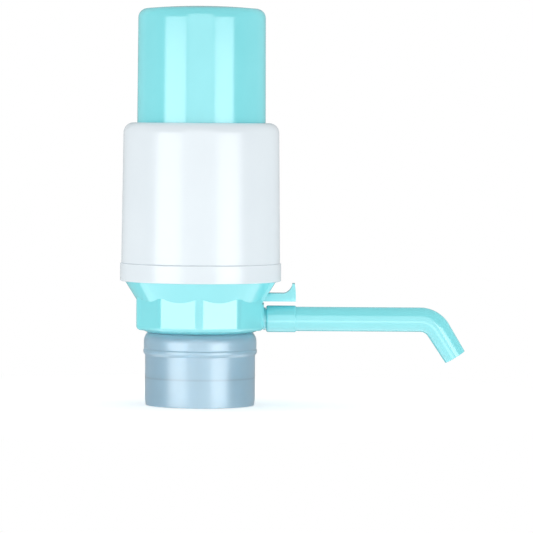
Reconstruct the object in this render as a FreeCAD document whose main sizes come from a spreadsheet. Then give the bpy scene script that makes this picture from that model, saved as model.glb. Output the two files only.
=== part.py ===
import FreeCAD, Part
import os
import re
import Sketcher
from math import atan2, sin, tan

# Hand pump for a drinking-water jug. Millimetres, +Z up, origin at the middle of the neck adapter's
# lower rim, +X towards the spout. Pressing the cap squeezes a bellows, which blows air into the jug,
# and the air drives the water up a riser, along a channel and out of the swivelling spout. The vent
# lever above the spout lets the air out again and stops the flow.

doc = FreeCAD.newDocument("HandPump")
sizes = doc.addObject("Spreadsheet::Sheet", "Sizes")

SIZES = {
    # neck adapter and its gasket
    "skirt_height": (39.6, "rim of the adapter to the floor of the base"),
    "skirt_over": (1.2, "adapter's wall outside the bore over the neck"),
    "skirt_rim_inset": (0.4, "adapter's wall inwards to its rim"),
    "skirt_rim_taper": (3.0, "height over which the rim widens to the wall"),
    "neck_ledge": (1.0, "ledge that the jug's lip stops against"),
    "neck_ledge_gap": (0.3, "ledge to the lower neck inside it"),
    "skirt_wall": (1.0, "wall of the adapter"),
    "skirt_band_over": (0.7, "thicker band under the shoulder outside the wall"),
    "skirt_band_level": (27.2, "lower edge of that band"),
    "skirt_step": (0.9, "height of the sloping step under the band"),
    "skirt_shoulder": (6.0, "rounding of the adapter's shoulder"),
    "skirt_flange": (2.0, "thickness of the adapter's clipped flange"),
    "neck_bore_radius": (27.7, "bore over the jug's neck"),
    "neck_bore_depth": (12.6, "depth from the rim to the jug's lip"),
    "gasket_thickness": (2.5, "lip gasket"),
    "gasket_inset": (5.1, "lower neck inwards to the gasket's hole"),
    # base
    "base_height": (25.6, "floor of the base to the underside of the band"),
    "flat_count": (10, "finger flats round the base"),
    "flare_spread": (6.4, "finger flats inside the top of the flare"),
    "panel_depth": (1.7, "outlet's deeper flat inside the finger flats"),
    "ridge_round": (8.0, "rounding of the ridges between the flats"),
    "flare_rise": (15.8, "floor of the base to the foot of the flare"),
    "flare_lip": (1.4, "top of the flare outside the collar"),
    "collar_inset": (3.3, "collar round the deck inside the sleeve's foot"),
    "base_wall": (2.2, "wall of the base"),
    "base_floor": (2.4, "floor of the base"),
    "base_edge_round": (2.3, "rounding of the base's lower edge"),
    "collar_wall": (2.4, "wall of the collar round the deck"),
    "deck_seat_width": (2.8, "ledge that carries the deck"),
    "deck_seat_rise": (0.8, "underside of the band to that ledge"),
    "neck_inset": (2.0, "lower neck inside the bore over the jug's neck"),
    "neck_tube_wall": (2.6, "wall of the lower neck"),
    "neck_groove_depth": (2.9, "groove that the adapter's flange clips into"),
    "clip_gap": (0.1, "clipped and plugged pieces, on the radius"),
    "clip_ramp": (1.6, "ramp that the flange snaps over"),
    "neck_step": (2.2, "height of the step in the lower neck's bore"),
    "neck_rim_lip": (0.9, "rim that locates the gasket"),
    # water way
    "connector_play": (0.2, "hose connector's flange to the gasket's hole"),
    "riser_bore": (3.6, "radius of the riser's bore"),
    "riser_wall": (1.8, "wall of the riser"),
    "spout_rise": (5.9, "floor of the base to the spout's axis"),
    "channel_bore": (3.0, "radius of the water channel's bore"),
    "channel_wall": (1.5, "wall of the water channel"),
    "boss_radius": (7.9, "half width of the outlet boss, and its height over the spout's axis"),
    "boss_arch": (6.5, "rounding of the arched boss's upper corners"),
    "boss_rise": (2.5, "outlet boss off its flat"),
    "boss_round": (2.0, "rounding of the boss's face"),
    "boss_foot": (0.5, "floor of the base to the boss's foot"),
    "nipple_radius": (5.0, "outlet nipple in the spout's socket"),
    "nipple_length": (13.0, "outlet nipple from the boss"),
    "seal_side": (1.4, "side of the square-cut outlet seals"),
    "seal_groove": (1.7, "width of a seal's groove"),
    "seal_gap": (0.02, "outlet seal to the bore round it"),
    "seal_start": (5.8, "boss to the middle of the first seal"),
    "seal_pitch": (4.0, "first seal to the second"),
    "seal_count": (2, "seals on the nipple"),
    "connector_bore": (2.4, "radius of the hose connector's bore"),
    "barb_radius": (4.2, "outside of the hose connector's barbs"),
    "barb_depth": (0.6, "depth of the hose connector's barbs"),
    "barb_count": (4, "barbs"),
    "barb_pitch": (4.0, "height of a barb"),
    "barb_slope": (1.8, "sloping part of a barb"),
    "barb_crest": (1.4, "upright part of a barb"),
    "connector_flange": (1.6, "flange of the hose connector"),
    "connector_flange_radius": (6.4, "outside of that flange"),
    "washer_thickness": (1.0, "washer over that flange"),
    # air way
    "duct_x": (-13.0, "axis of the air duct from the pump's axis"),
    "duct_bore": (6.5, "radius of the duct socket in the base"),
    "duct_wall": (1.5, "wall of the duct socket and of the deck's spigot"),
    "duct_port": (4.0, "radius of the duct's port through the floor"),
    "duct_seal": (1.4, "seal on top of the duct socket"),
    "duct_gap": (0.1, "spigot in its socket"),
    "spigot_length": (8.0, "deck's spigot below the deck"),
    "valve_radius": (4.6, "umbrella of an air valve"),
    "valve_stem": (1.1, "radius of an air valve's stem"),
    "valve_crown": (1.6, "depth of an umbrella in its middle"),
    "valve_edge": (0.5, "edge of an umbrella"),
    "stem_barb": (0.5, "barb that holds an air valve"),
    "stem_tip": (1.5, "height of that barb"),
    "stem_gap": (0.05, "stem in its hole, on the radius"),
    "valve_plate": (1.6, "plate that an air valve hangs under"),
    "port_radius": (0.7, "air port under an umbrella"),
    "port_ring": (3.0, "stem to the middle of a port"),
    "port_count": (6, "air ports round a valve's stem"),
    "vent_x": (1.0, "axis of the vent chimney from the pump's axis"),
    "vent_bore": (1.5, "radius of the vent"),
    "vent_wall": (1.6, "wall of the vent chimney"),
    "vent_rise": (13.4, "floor of the base to the top of the chimney"),
    # deck and bellows
    "deck_thickness": (3.0, "plate between the bellows and the base"),
    "deck_gap": (0.2, "deck in its collar"),
    "bellows_flange": (1.6, "clamped flange of the bellows"),
    "bellows_play": (1.1, "outer folds of the bellows inside the cap"),
    "fold_depth": (5.0, "depth of the bellows' folds"),
    "bellows_wall": (0.9, "wall of the bellows"),
    "fold_count": (8, "folds of the bellows"),
    "bellows_cuff": (1.2, "upper flange of the bellows"),
    "spring_inset": (5.1, "inner folds of the bellows to the middle of the spring's wire"),
    "spring_wire": (1.6, "side of the return spring's square wire"),
    "spring_turns": (7, "turns of the return spring"),
    "seat_ring": (2.0, "height of the ring that centres the spring"),
    "seat_ring_wall": (1.2, "wall of that ring"),
    "seat_gap": (0.4, "that ring inside the spring"),
    # housing
    "band_over": (0.6, "housing's band outside the sleeve"),
    "band_height": (9.4, "height of that band"),
    "band_bevel": (0.5, "bevel of the band's edges"),
    "collar_gap": (0.2, "base collar in the housing ring"),
    "ring_lip": (2.5, "lip that clamps the bellows"),
    "ring_lip_width": (5.4, "collar inwards to the opening of the clamping lip"),
    "ring_spigot_rise": (7.4, "spigot of the ring inside the sleeve"),
    "ring_spigot_wall": (1.4, "wall of that spigot"),
    "sleeve_radius": (41.7, "outside of the sleeve at its foot"),
    "sleeve_taper": (0.9, "narrowing of the sleeve up to its shoulder"),
    "sleeve_height": (74.2, "band to the top of the sleeve"),
    "sleeve_shoulder": (5.3, "rounding of the sleeve's shoulder"),
    "sleeve_wall": (2.0, "wall of the sleeve"),
    "housing_gap": (0.2, "sleeve over the ring's spigot"),
    # press cap
    "cap_inset": (8.0, "cap inside the sleeve's foot"),
    "cap_taper": (0.3, "narrowing of the cap up to its top"),
    "cap_rise": (60.5, "top of the sleeve to the top of the cap"),
    "cap_wall": (2.0, "wall of the cap"),
    "cap_dome": (0.9, "rise of the cap's crown"),
    "crown_inset": (3.9, "crown inside the cap's top"),
    "cap_edge_round": (3.8, "rounding of the cap's edge"),
    "cap_gap": (0.5, "cap in the sleeve's opening"),
    "cap_skirt": (16.0, "cap below the sleeve's opening"),
    "stop_play": (2.0, "stop flange inside the sleeve's bore"),
    "stop_thickness": (2.4, "thickness of that flange"),
    "stop_gap": (0.3, "flange under the shoulder at rest"),
    "rib_height": (2.0, "ribs that hold the intake seat off the cap"),
    "rib_width": (2.0, "width of those ribs"),
    "rib_start": (6.4, "inner end of those ribs"),
    "rib_count": (6, "ribs under the cap's top"),
    "soft_gap": (0.1, "soft or sprung piece to a piece that moves"),
    # spout
    "swivel_gap": (0.05, "nipple in the spout's socket, on the radius"),
    "socket_gap": (0.9, "boss to the spout's socket"),
    "socket_over": (0.6, "spout's socket outside its tube"),
    "socket_length": (15.1, "length of the spout's socket"),
    "tube_radius": (6.4, "outside of the spout's tube"),
    "tube_wall": (1.7, "wall of the spout's tube"),
    "tube_length": (65.4, "straight tube from the socket to the bend"),
    "bend_radius": (11.2, "middle line of the bend"),
    "bend_angle": (57.9, "turn of the spout, degrees"),
    "nozzle_length": (16.9, "tube past the bend"),
    "nozzle_taper": (0.45, "narrowing of the tube to the spout's mouth"),
    # vent lever
    "pivot_inset": (6.8, "lever's pin inside the collar"),
    "pivot_rise": (16.8, "floor of the base to the lever's pin"),
    "pin_radius": (1.0, "lever's pin"),
    "pin_gap": (0.05, "lever on its pin, on the radius"),
    "pin_length": (21.0, "lever's pin"),
    "tab_length": (18.5, "thumb tab from the pin to its end"),
    "tab_width": (12.0, "thumb tab"),
    "tab_thickness": (4.2, "thumb tab"),
    "tab_tip_rise": (5.0, "upturned end above the tab"),
    "tab_tip": (1.4, "width of the upturned end's edge"),
    "tab_curve": (4.6, "hollow of the thumb tab"),
    "tab_root": (4.0, "block round the pin, inside the base"),
    "arm_width": (8.0, "lever's arm inside the base"),
    "arm_thickness": (3.0, "lever's arm"),
    "vent_seal": (1.5, "thickness of the seal under the arm's end"),
    "slot_gap": (0.3, "lever in its slot, each side"),
    "slot_swing": (1.0, "slot above and below the lever"),
    "slot_depth": (5.0, "slot from the pin into the base"),
    "slot_reach": (9.0, "slot from the pin out of the hood"),
    "hood_foot": (11.5, "half width of the lever's hood at its foot"),
    "hood_foot_rise": (13.8, "floor of the base to the hood's foot"),
    "hood_top_over": (3.8, "hood's top wider than its foot, each side"),
    "hood_waist_over": (1.4, "hood's waist wider than its foot, each side"),
    "hood_waist_rise": (3.4, "foot of the flare to the hood's waist"),
    "hood_waist": (2.7, "hood's waist off the flats"),
    "vent_spring_radius": (2.7, "mean radius of the vent spring"),
    "vent_wire": (0.6, "side of the vent spring's square wire"),
    "vent_turns": (3, "turns of the vent spring"),
    "pip_radius": (1.9, "pips that centre the vent spring"),
    "pip_height": (1.4, "pips that centre the vent spring"),
}

for row, (alias, (size, note)) in enumerate(SIZES.items(), start=1):
    sizes.set(f"A{row}", alias)
    sizes.set(f"B{row}", str(size))
    sizes.setAlias(f"B{row}", alias)
    sizes.set(f"C{row}", note)
doc.recompute()

# sizes that follow from the sheet's, so that mating pieces keep their fit
DERIVED = {
    "skirt_radius": "neck_bore_radius + skirt_over",
    "skirt_rim_radius": "skirt_radius - skirt_rim_inset",
    "skirt_band_radius": "skirt_radius + skirt_band_over",
    "gasket_inner_radius": "neck_tube_radius - gasket_inset",
    "flat_apothem": "collar_radius + flare_lip - flare_spread",
    "panel_apothem": "flat_apothem - panel_depth",
    "collar_radius": "sleeve_radius - collar_inset",
    "neck_tube_radius": "neck_bore_radius - neck_inset",
    "neck_groove_radius": "neck_tube_radius - neck_groove_depth",
    "riser_x": "gasket_inner_radius - connector_flange_radius - connector_play",
    "bellows_radius": "cap_radius - cap_wall - bellows_play",
    "bellows_root": "bellows_radius - fold_depth",
    "spring_radius": "bellows_root - spring_inset",
    "band_radius": "sleeve_radius + band_over",
    "ring_lip_radius": "collar_radius - ring_lip_width",
    "sleeve_top_radius": "sleeve_radius - sleeve_taper",
    "cap_radius": "sleeve_radius - cap_inset",
    "cap_top_radius": "cap_radius - cap_taper",
    "crown_radius": "cap_top_radius - crown_inset",
    "stop_radius": "sleeve_top_radius - sleeve_wall - stop_play",
    "pivot_x": "collar_radius - pivot_inset",
    "hood_waist_width": "hood_foot + hood_waist_over",
    "hood_top": "hood_foot + hood_top_over",
    "socket_radius": "tube_radius + socket_over",
    "nozzle_radius": "tube_radius - nozzle_taper",
}

# levels, as formulas of the sheet's sizes
FLOOR = "skirt_height"
FLOOR_TOP = f"({FLOOR} + base_floor)"
SPOUT_AXIS = f"({FLOOR} + spout_rise)"
FLARE_FOOT = f"({FLOOR} + flare_rise)"
BAND_BOTTOM = f"({FLOOR} + base_height)"
DECK_UNDER = f"({BAND_BOTTOM} + deck_seat_rise)"
DECK_TOP = f"({DECK_UNDER} + deck_thickness)"
FLANGE_TOP = f"({DECK_TOP} + bellows_flange)"
LIP_TOP = f"({FLANGE_TOP} + ring_lip)"
BAND_TOP = f"({BAND_BOTTOM} + band_height)"
SLEEVE_TOP = f"({BAND_TOP} + sleeve_height)"
CAP_TOP = f"({SLEEVE_TOP} + cap_rise)"
CAP_CEILING = f"({CAP_TOP} - cap_dome - cap_wall)"
SEAT_TOP = f"({CAP_CEILING} - rib_height)"
SEAT_UNDER = f"({SEAT_TOP} - valve_plate)"
GASKET_TOP = "(neck_bore_depth + gasket_thickness)"
VENT_TOP = f"({FLOOR} + vent_rise)"
ARM_UNDER = f"({VENT_TOP} + vent_seal)"
ARM_TOP = f"({ARM_UNDER} + arm_thickness)"
PIVOT = f"({FLOOR} + pivot_rise)"
VALVE_PLATE_UNDER = f"({DECK_UNDER} - spigot_length)"

CORE_TOP = f"({FLARE_FOOT} + hood_waist_rise)"
HOOD_FOOT = f"({FLOOR} + hood_foot_rise)"
COLLAR_TOP = f"({FLANGE_TOP} - collar_gap)"
SOCKET_TOP = f"({DECK_UNDER} - duct_seal)"
RISER_TOP = f"({SPOUT_AXIS} + channel_bore + channel_wall + riser_wall / 2)"
CROWN_FOOT = f"({CAP_TOP} - cap_dome)"

# radii and places along X, as formulas
BOSS_FACE = "(panel_apothem + boss_rise)"
SOCKET_START = f"({BOSS_FACE} + socket_gap)"
SOCKET_END = f"({SOCKET_START} + socket_length)"
BEND_START = f"({SOCKET_END} + tube_length)"
DECK_BORE = "(collar_radius - collar_wall)"
DECK_RADIUS = f"({DECK_BORE} - deck_gap)"
CAVITY = "(flat_apothem - base_wall)"
SPIGOT_RADIUS = "(duct_bore - duct_gap)"
SPIGOT_BORE = f"({SPIGOT_RADIUS} - duct_wall)"
DECK_SEAT = f"({DECK_BORE} - deck_seat_width)"
PANEL_INSIDE = "(panel_apothem - base_wall)"
PANEL_MIDDLE = f"((panel_apothem + {CAVITY}) / 2)"
SEAL_TOP = "(nipple_radius + swivel_gap - seal_gap)"
SEAL_FLOOR = f"({SEAL_TOP} - seal_side)"
STOP_EDGE = "(sleeve_top_radius - sleeve_shoulder - stop_gap)"
SPRING_SEAT = "(spring_radius - spring_wire / 2 - seat_gap)"


def written_out(formula):
    """The formula with each derived size replaced by what it follows from."""
    def meaning(found):
        name = found.group(0)
        return f"({written_out(DERIVED[name])})" if name in DERIVED else name
    return re.sub(r"[a-z]\w*(?![\w(])", meaning, formula)


def bound(formula):
    """The formula in the document's own words: every size is read from the sheet."""
    return re.sub(r"[a-z]\w*(?![\w(])", r"Sizes.\g<0>", written_out(formula))


def value(formula):
    """What the formula comes to with the sheet's present sizes."""
    return float(sizes.evalExpression(written_out(formula)))


def vector(x, y, z=0.0):
    return FreeCAD.Vector(x, y, z)


def new_body(name):
    body = doc.addObject("PartDesign::Body", name)
    body.Label = name
    return body


def new_sketch(body, name, plane, x="0", y="0", off="0", turn=None):
    """A sketch on one of the body's origin planes, its own origin moved to x, y and off the plane."""
    sketch = body.newObject("Sketcher::SketchObject", name)
    face = next(f for f in body.Origin.OriginFeatures if f.Role == plane + "_Plane")
    sketch.AttachmentSupport = [(face, "")]
    sketch.MapMode = "FlatFace"
    angle = 0.0 if turn is None else value(turn)
    place = vector(value(x), value(y), value(off))
    sketch.AttachmentOffset = FreeCAD.Placement(place, FreeCAD.Rotation(vector(0, 0, 1), angle))
    for axis, formula in zip("xyz", (x, y, off)):
        if formula != "0":
            sketch.setExpression(f"AttachmentOffset.Base.{axis}", bound(formula))
    if turn is not None:
        sketch.setExpression("AttachmentOffset.Rotation.Angle", bound(turn))
    return sketch


def hold_point(sketch, index, end, x, y):
    """Ties one point of the sketch to its two formulas."""
    for kind, formula in (("DistanceX", x), ("DistanceY", y)):
        place = Sketcher.Constraint(kind, -1, 1, index, end, value(formula))
        number = sketch.addConstraint(place)
        if re.search("[a-z]", formula):
            sketch.setExpression(f"Constraints[{number}]", bound(formula))


def hold_radius(sketch, index, formula):
    number = sketch.addConstraint(Sketcher.Constraint("Radius", index, value(formula)))
    sketch.setExpression(f"Constraints[{number}]", bound(formula))


def add_circle(sketch, x, y, radius):
    ring = Part.Circle(vector(value(x), value(y)), vector(0, 0, 1), value(radius))
    index = sketch.addGeometry(ring, False)
    hold_point(sketch, index, 3, x, y)
    hold_radius(sketch, index, radius)


def arc_between(centre, radius, one, other):
    """The short arc between two points, anticlockwise as a sketch keeps it."""
    circle = Part.Circle(centre, vector(0, 0, 1), radius)
    first, last = one - centre, other - centre
    if first.cross(last).z < 0:
        first, last = last, first
    return Part.ArcOfCircle(circle, atan2(first.y, first.x), atan2(last.y, last.x))


def add_outline(sketch, corners):
    """A closed outline. A corner is (x, y) or, rounded, (x, y, radius)."""
    spots = [vector(value(corner[0]), value(corner[1])) for corner in corners]
    count = len(corners)
    starts, ends, arcs = list(spots), list(spots), [None] * count
    for i, corner in enumerate(corners):
        if len(corner) == 3:
            radius = value(corner[2])
            back = (spots[i - 1] - spots[i]).normalize()
            ahead = (spots[(i + 1) % count] - spots[i]).normalize()
            half = back.getAngle(ahead) / 2
            starts[i] = spots[i] + back * (radius / tan(half))
            ends[i] = spots[i] + ahead * (radius / tan(half))
            centre = spots[i] + (back + ahead).normalize() * (radius / sin(half))
            arcs[i] = arc_between(centre, radius, starts[i], ends[i])
    lines = []
    for i in range(count):
        side = Part.LineSegment(ends[i], starts[(i + 1) % count])
        lines.append(sketch.addGeometry(side, False))
    for i, corner in enumerate(corners):
        before, after = lines[i - 1], lines[i]
        if arcs[i] is None:
            sketch.addConstraint(Sketcher.Constraint("Coincident", before, 2, after, 1))
            hold_point(sketch, after, 1, corner[0], corner[1])
            continue
        arc = sketch.addGeometry(arcs[i], False)
        forward = sketch.getPoint(arc, 1).distanceToPoint(starts[i]) < 1e-6
        first, last = (1, 2) if forward else (2, 1)
        sketch.addConstraint(Sketcher.Constraint("Tangent", before, 2, arc, first))
        sketch.addConstraint(Sketcher.Constraint("Tangent", arc, last, after, 1))
        hold_radius(sketch, arc, corner[2])
        point = sketch.addGeometry(Part.Point(spots[i]), True)
        sketch.addConstraint(Sketcher.Constraint("PointOnObject", point, 1, before))
        sketch.addConstraint(Sketcher.Constraint("PointOnObject", point, 1, after))
        hold_point(sketch, point, 1, corner[0], corner[1])


def volume(body):
    return 0.0 if body.Shape.isNull() else body.Shape.Volume


def settle(body, feature, before, cut=False):
    """Recomputes a feature and makes sure that it added or cut something."""
    body.Tip = feature
    doc.recompute()
    after = volume(body)
    changed = before - after if cut else after - before
    if changed < 1e-6:
        raise RuntimeError(f"{feature.Label} of {body.Label} changes nothing ({feature.State})")
    return feature


def turned(body, name, corners, cut=False, x="0", y="0", off="0", turn=None, axis="V_Axis", plane="XZ"):
    """A turned form: an outline spun about an axis of its own sketch."""
    before = volume(body)
    sketch = new_sketch(body, name + "Outline", plane, x, y, off, turn)
    add_outline(sketch, corners)
    feature = body.newObject("PartDesign::Groove" if cut else "PartDesign::Revolution", name)
    feature.Profile = sketch
    feature.ReferenceAxis = (sketch, [axis])
    feature.Angle = 360
    return settle(body, feature, before, cut)


def extruded(body, name, sketch, length, cut=False, both=False):
    """A pad or a pocket from the sketch's plane along its normal, or the same each side of it."""
    before = volume(body)
    feature = body.newObject("PartDesign::Pocket" if cut else "PartDesign::Pad", name)
    feature.Profile = sketch
    feature.Length = value(length)
    feature.setExpression("Length", bound(length))
    if both:
        feature.SideType = "Symmetric"
    elif cut:
        feature.Reversed = True
    return settle(body, feature, before, cut)


def column(body, name, x, low, high, radii, cut=False):
    """An upright round column or tube at x, or a hole like it."""
    sketch = new_sketch(body, name + "Circles", "XY", x=x, off=low)
    for radius in radii:
        add_circle(sketch, "0", "0", radius)
    return extruded(body, name, sketch, f"{high} - {low}", cut)


def oblong(start, end, half):
    """An oblong from start to end along X and the same each side of it."""
    return [(start, f"-{half}"), (end, f"-{half}"), (end, half), (start, half)]


def upright(body, name, start, end, half, low, high, cut=False):
    """An upright block from start to end along X, or a pocket like it."""
    sketch = new_sketch(body, name + "Outline", "XY", off=low)
    add_outline(sketch, oblong(start, end, half))
    return extruded(body, name, sketch, f"{high} - {low}", cut)


def slab(body, name, corners, width, cut=False, x="0", z="0"):
    """An outline seen from the front, taken the same way to both sides."""
    sketch = new_sketch(body, name + "Outline", "XZ", x=x, y=z)
    add_outline(sketch, corners)
    return extruded(body, name, sketch, width, cut, both=True)


def around(body, name, feature, count, cut=False):
    """Repeats a feature about the pump's axis."""
    before = volume(body)
    pattern = body.newObject("PartDesign::PolarPattern", name)
    pattern.Originals = [feature]
    axis = next(f for f in body.Origin.OriginFeatures if f.Role == "Z_Axis")
    pattern.Axis = (axis, [""])
    pattern.Angle = 360
    pattern.Occurrences = int(value(count))
    pattern.setExpression("Occurrences", bound(count))
    return settle(body, pattern, before, cut)


def rounded(body, name, picks, radius):
    """Rounds the edges of the body's last shape that the test picks."""
    base = body.Tip
    before = volume(body)
    names = [f"Edge{i}" for i, edge in enumerate(base.Shape.Edges, start=1) if picks(edge)]
    feature = body.newObject("PartDesign::Fillet", name)
    feature.Base = (base, names)
    feature.Radius = value(radius)
    feature.setExpression("Radius", bound(radius))
    return settle(body, feature, before, cut=True)


def lies_at(low, high, level):
    return abs(low - level) < 1e-3 and abs(high - level) < 1e-3


def ring(name, x, inner, outer, low, high):
    """A plain ring about an upright axis at x."""
    body = new_body(name)
    corners = [(inner, low), (outer, low), (outer, high), (inner, high)]
    turned(body, "Ring", corners, x=x)
    return body


def neck_adapter():
    """The translucent collar over the jug's neck. Its flange clips into a groove of the lower neck."""
    body = new_body("neck_adapter")
    under = f"{FLOOR} - skirt_flange"
    bore = "skirt_radius - skirt_wall"
    band_bore = "skirt_band_radius - skirt_wall"
    step = "skirt_band_level - skirt_step"
    corners = [
        ("neck_bore_radius", "0"),
        ("skirt_rim_radius", "0"),
        ("skirt_radius", "skirt_rim_taper"),
        ("skirt_radius", step),
        ("skirt_band_radius", "skirt_band_level"),
        ("skirt_band_radius", FLOOR, "skirt_shoulder"),
        ("neck_groove_radius + clip_gap", FLOOR),
        ("neck_groove_radius + clip_gap", under),
        (band_bore, under, "skirt_shoulder - skirt_wall"),
        (band_bore, "skirt_band_level"),
        (bore, step),
        (bore, "neck_bore_depth + neck_ledge"),
        ("neck_tube_radius + neck_ledge_gap", "neck_bore_depth + neck_ledge"),
        ("neck_tube_radius + neck_ledge_gap", "neck_bore_depth"),
        ("neck_bore_radius", "neck_bore_depth"),
    ]
    turned(body, "Wall", corners)
    return body


def base_body():
    """The base: a finger-flatted body, its flare and collar, the lower neck, and the ways for air
    and water, moulded in one piece."""
    body = new_body("base_body")
    plan = new_sketch(body, "CoreOutline", "XY", off=FLOOR)
    reach = "flat_apothem / cos(180 / flat_count)"
    corners = []
    for number in range(int(value("flat_count"))):
        angle = f"{number + 0.5} * 360 / flat_count"
        corners.append((f"{reach} * cos({angle})", f"{reach} * sin({angle})", "ridge_round"))
    add_outline(plan, corners)
    extruded(body, "Core", plan, f"{CORE_TOP} - {FLOOR}")
    floor = value(FLOOR)
    rounded(body, "FootRound", lambda edge: lies_at(edge.BoundBox.ZMin, edge.BoundBox.ZMax, floor),
            "base_edge_round")
    far = "flat_apothem + base_wall * 2"
    upright(body, "Panel", "panel_apothem", far, "flat_apothem / 2", FLOOR, CORE_TOP, cut=True)
    flare = [
        ("0", FLARE_FOOT),
        ("flat_apothem", FLARE_FOOT),
        ("collar_radius + flare_lip", BAND_BOTTOM),
        ("collar_radius", BAND_BOTTOM),
        ("collar_radius", COLLAR_TOP),
        ("0", COLLAR_TOP),
    ]
    turned(body, "Flare", flare)
    lever_hood(body)
    cavity = [
        ("0", FLOOR_TOP),
        (CAVITY, FLOOR_TOP),
        (CAVITY, FLARE_FOOT),
        (DECK_SEAT, f"{DECK_UNDER} - deck_seat_width * 2"),
        (DECK_SEAT, DECK_UNDER),
        (DECK_BORE, DECK_UNDER),
        (DECK_BORE, COLLAR_TOP),
        ("0", COLLAR_TOP),
    ]
    turned(body, "Cavity", cavity, cut=True)
    upright(body, "PanelWall", PANEL_INSIDE, PANEL_MIDDLE, "hood_foot", FLOOR_TOP, CORE_TOP)
    lower_neck(body)
    air_ways(body)
    water_ways(body)
    lever_slot(body)
    return body


def lever_hood(body):
    """The flat-sided hood that carries one finger flat up through the flare, over the vent lever."""
    levels = [
        (HOOD_FOOT, "panel_apothem", "hood_foot"),
        (CORE_TOP, "(flat_apothem + hood_waist)", "hood_waist_width"),
        (BAND_BOTTOM, "(collar_radius + flare_lip)", "hood_top"),
    ]
    before = volume(body)
    sketches = []
    for number, (level, face, half) in enumerate(levels, start=1):
        sketch = new_sketch(body, f"HoodLevel{number}", "XY", off=level)
        add_outline(sketch, oblong(PANEL_INSIDE, face, half))
        sketches.append(sketch)
    hood = body.newObject("PartDesign::AdditiveLoft", "Hood")
    hood.Profile = sketches[0]
    hood.Sections = sketches[1:]
    hood.Ruled = True
    settle(body, hood, before)


def lower_neck(body):
    """The short neck inside the adapter: a groove for the adapter's flange, and a seat for the gasket."""
    groove = f"{FLOOR} - skirt_flange - clip_gap"
    bore = "neck_tube_radius - neck_tube_wall"
    groove_bore = "neck_groove_radius - base_wall"
    gasket_edge = "neck_tube_radius - neck_rim_lip"
    seat = f"{GASKET_TOP} + neck_rim_lip * 2"
    corners = [
        ("gasket_inner_radius", GASKET_TOP),
        (gasket_edge, GASKET_TOP),
        (gasket_edge, "neck_bore_depth + neck_rim_lip"),
        ("neck_tube_radius", "neck_bore_depth + neck_rim_lip"),
        ("neck_tube_radius", f"{groove} - clip_ramp"),
        ("neck_tube_radius - clip_ramp", groove),
        ("neck_groove_radius", groove),
        ("neck_groove_radius", FLOOR),
        (groove_bore, FLOOR),
        (groove_bore, f"{groove} - neck_step"),
        (bore, f"{groove} - neck_step * 2"),
        (bore, seat),
        ("gasket_inner_radius", seat),
    ]
    turned(body, "LowerNeck", corners)


def air_ways(body):
    """The socket of the air duct and the vent chimney, both open into the jug."""
    column(body, "DuctSocket", "duct_x", FLOOR_TOP, SOCKET_TOP, ["duct_bore + duct_wall", "duct_bore"])
    column(body, "DuctPort", "duct_x", FLOOR, FLOOR_TOP, ["duct_port"], cut=True)
    column(body, "Chimney", "vent_x", FLOOR_TOP, VENT_TOP, ["vent_bore + vent_wall"])
    column(body, "Vent", "vent_x", FLOOR, VENT_TOP, ["vent_bore"], cut=True)


def seal_places():
    """The middles of the outlet seals along the nipple."""
    count = int(value("seal_count"))
    return [f"({BOSS_FACE} + seal_start + {number} * seal_pitch)" for number in range(count)]


def water_ways(body):
    """The riser, the channel to the outlet, and the nipple that the spout turns on."""
    column(body, "Riser", "riser_x", FLOOR_TOP, RISER_TOP, ["riser_bore + riser_wall"])
    inside = "(panel_apothem - base_wall / 2)"
    arch = new_sketch(body, "BossOutline", "YZ", y=SPOUT_AXIS, off=inside)
    foot = "boss_foot - spout_rise"
    add_outline(arch, [
        ("-boss_radius", foot),
        ("boss_radius", foot),
        ("boss_radius", "boss_radius", "boss_arch"),
        ("-boss_radius", "boss_radius", "boss_arch"),
    ])
    extruded(body, "Boss", arch, f"{BOSS_FACE} - {inside}")
    face = value(BOSS_FACE)
    rounded(body, "BossRound", lambda edge: lies_at(edge.BoundBox.XMin, edge.BoundBox.XMax, face),
            "boss_round")
    pipe = new_sketch(body, "PipeCircle", "YZ", y=SPOUT_AXIS, off="riser_x")
    add_circle(pipe, "0", "0", "channel_bore + channel_wall")
    extruded(body, "Pipe", pipe, f"{BOSS_FACE} - riser_x")
    nipple = [(BOSS_FACE, "0"), (BOSS_FACE, "nipple_radius")]
    for place in seal_places():
        low, high = f"{place} - seal_groove / 2", f"{place} + seal_groove / 2"
        nipple += [(low, "nipple_radius"), (low, SEAL_FLOOR), (high, SEAL_FLOOR), (high, "nipple_radius")]
    nipple += [(f"{BOSS_FACE} + nipple_length", "nipple_radius"), (f"{BOSS_FACE} + nipple_length", "0")]
    turned(body, "Nipple", nipple, y=SPOUT_AXIS, axis="H_Axis")
    column(body, "RiserBore", "riser_x", FLOOR, f"{RISER_TOP} - riser_wall", ["riser_bore"], cut=True)
    sketch = new_sketch(body, "ChannelCircle", "YZ", y=SPOUT_AXIS, off="riser_x")
    add_circle(sketch, "0", "0", "channel_bore")
    extruded(body, "Channel", sketch, f"{BOSS_FACE} + nipple_length - riser_x", cut=True)


def lever_slot(body):
    """The slot through the hood for the vent lever, and the hole for its pin."""
    low, high = "-tab_thickness / 2 - slot_swing", "tab_thickness / 2 + slot_swing"
    start, end = "-slot_depth", "slot_reach"
    slot = [(start, low), (end, low), (end, high), (start, high)]
    slab(body, "LeverSlot", slot, "tab_width + slot_gap * 2", cut=True, x="pivot_x", z=PIVOT)
    sketch = new_sketch(body, "PinCircle", "XZ", x="pivot_x", y=PIVOT)
    add_circle(sketch, "0", "0", "pin_radius")
    extruded(body, "PinHole", sketch, "pin_length", cut=True, both=True)


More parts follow.
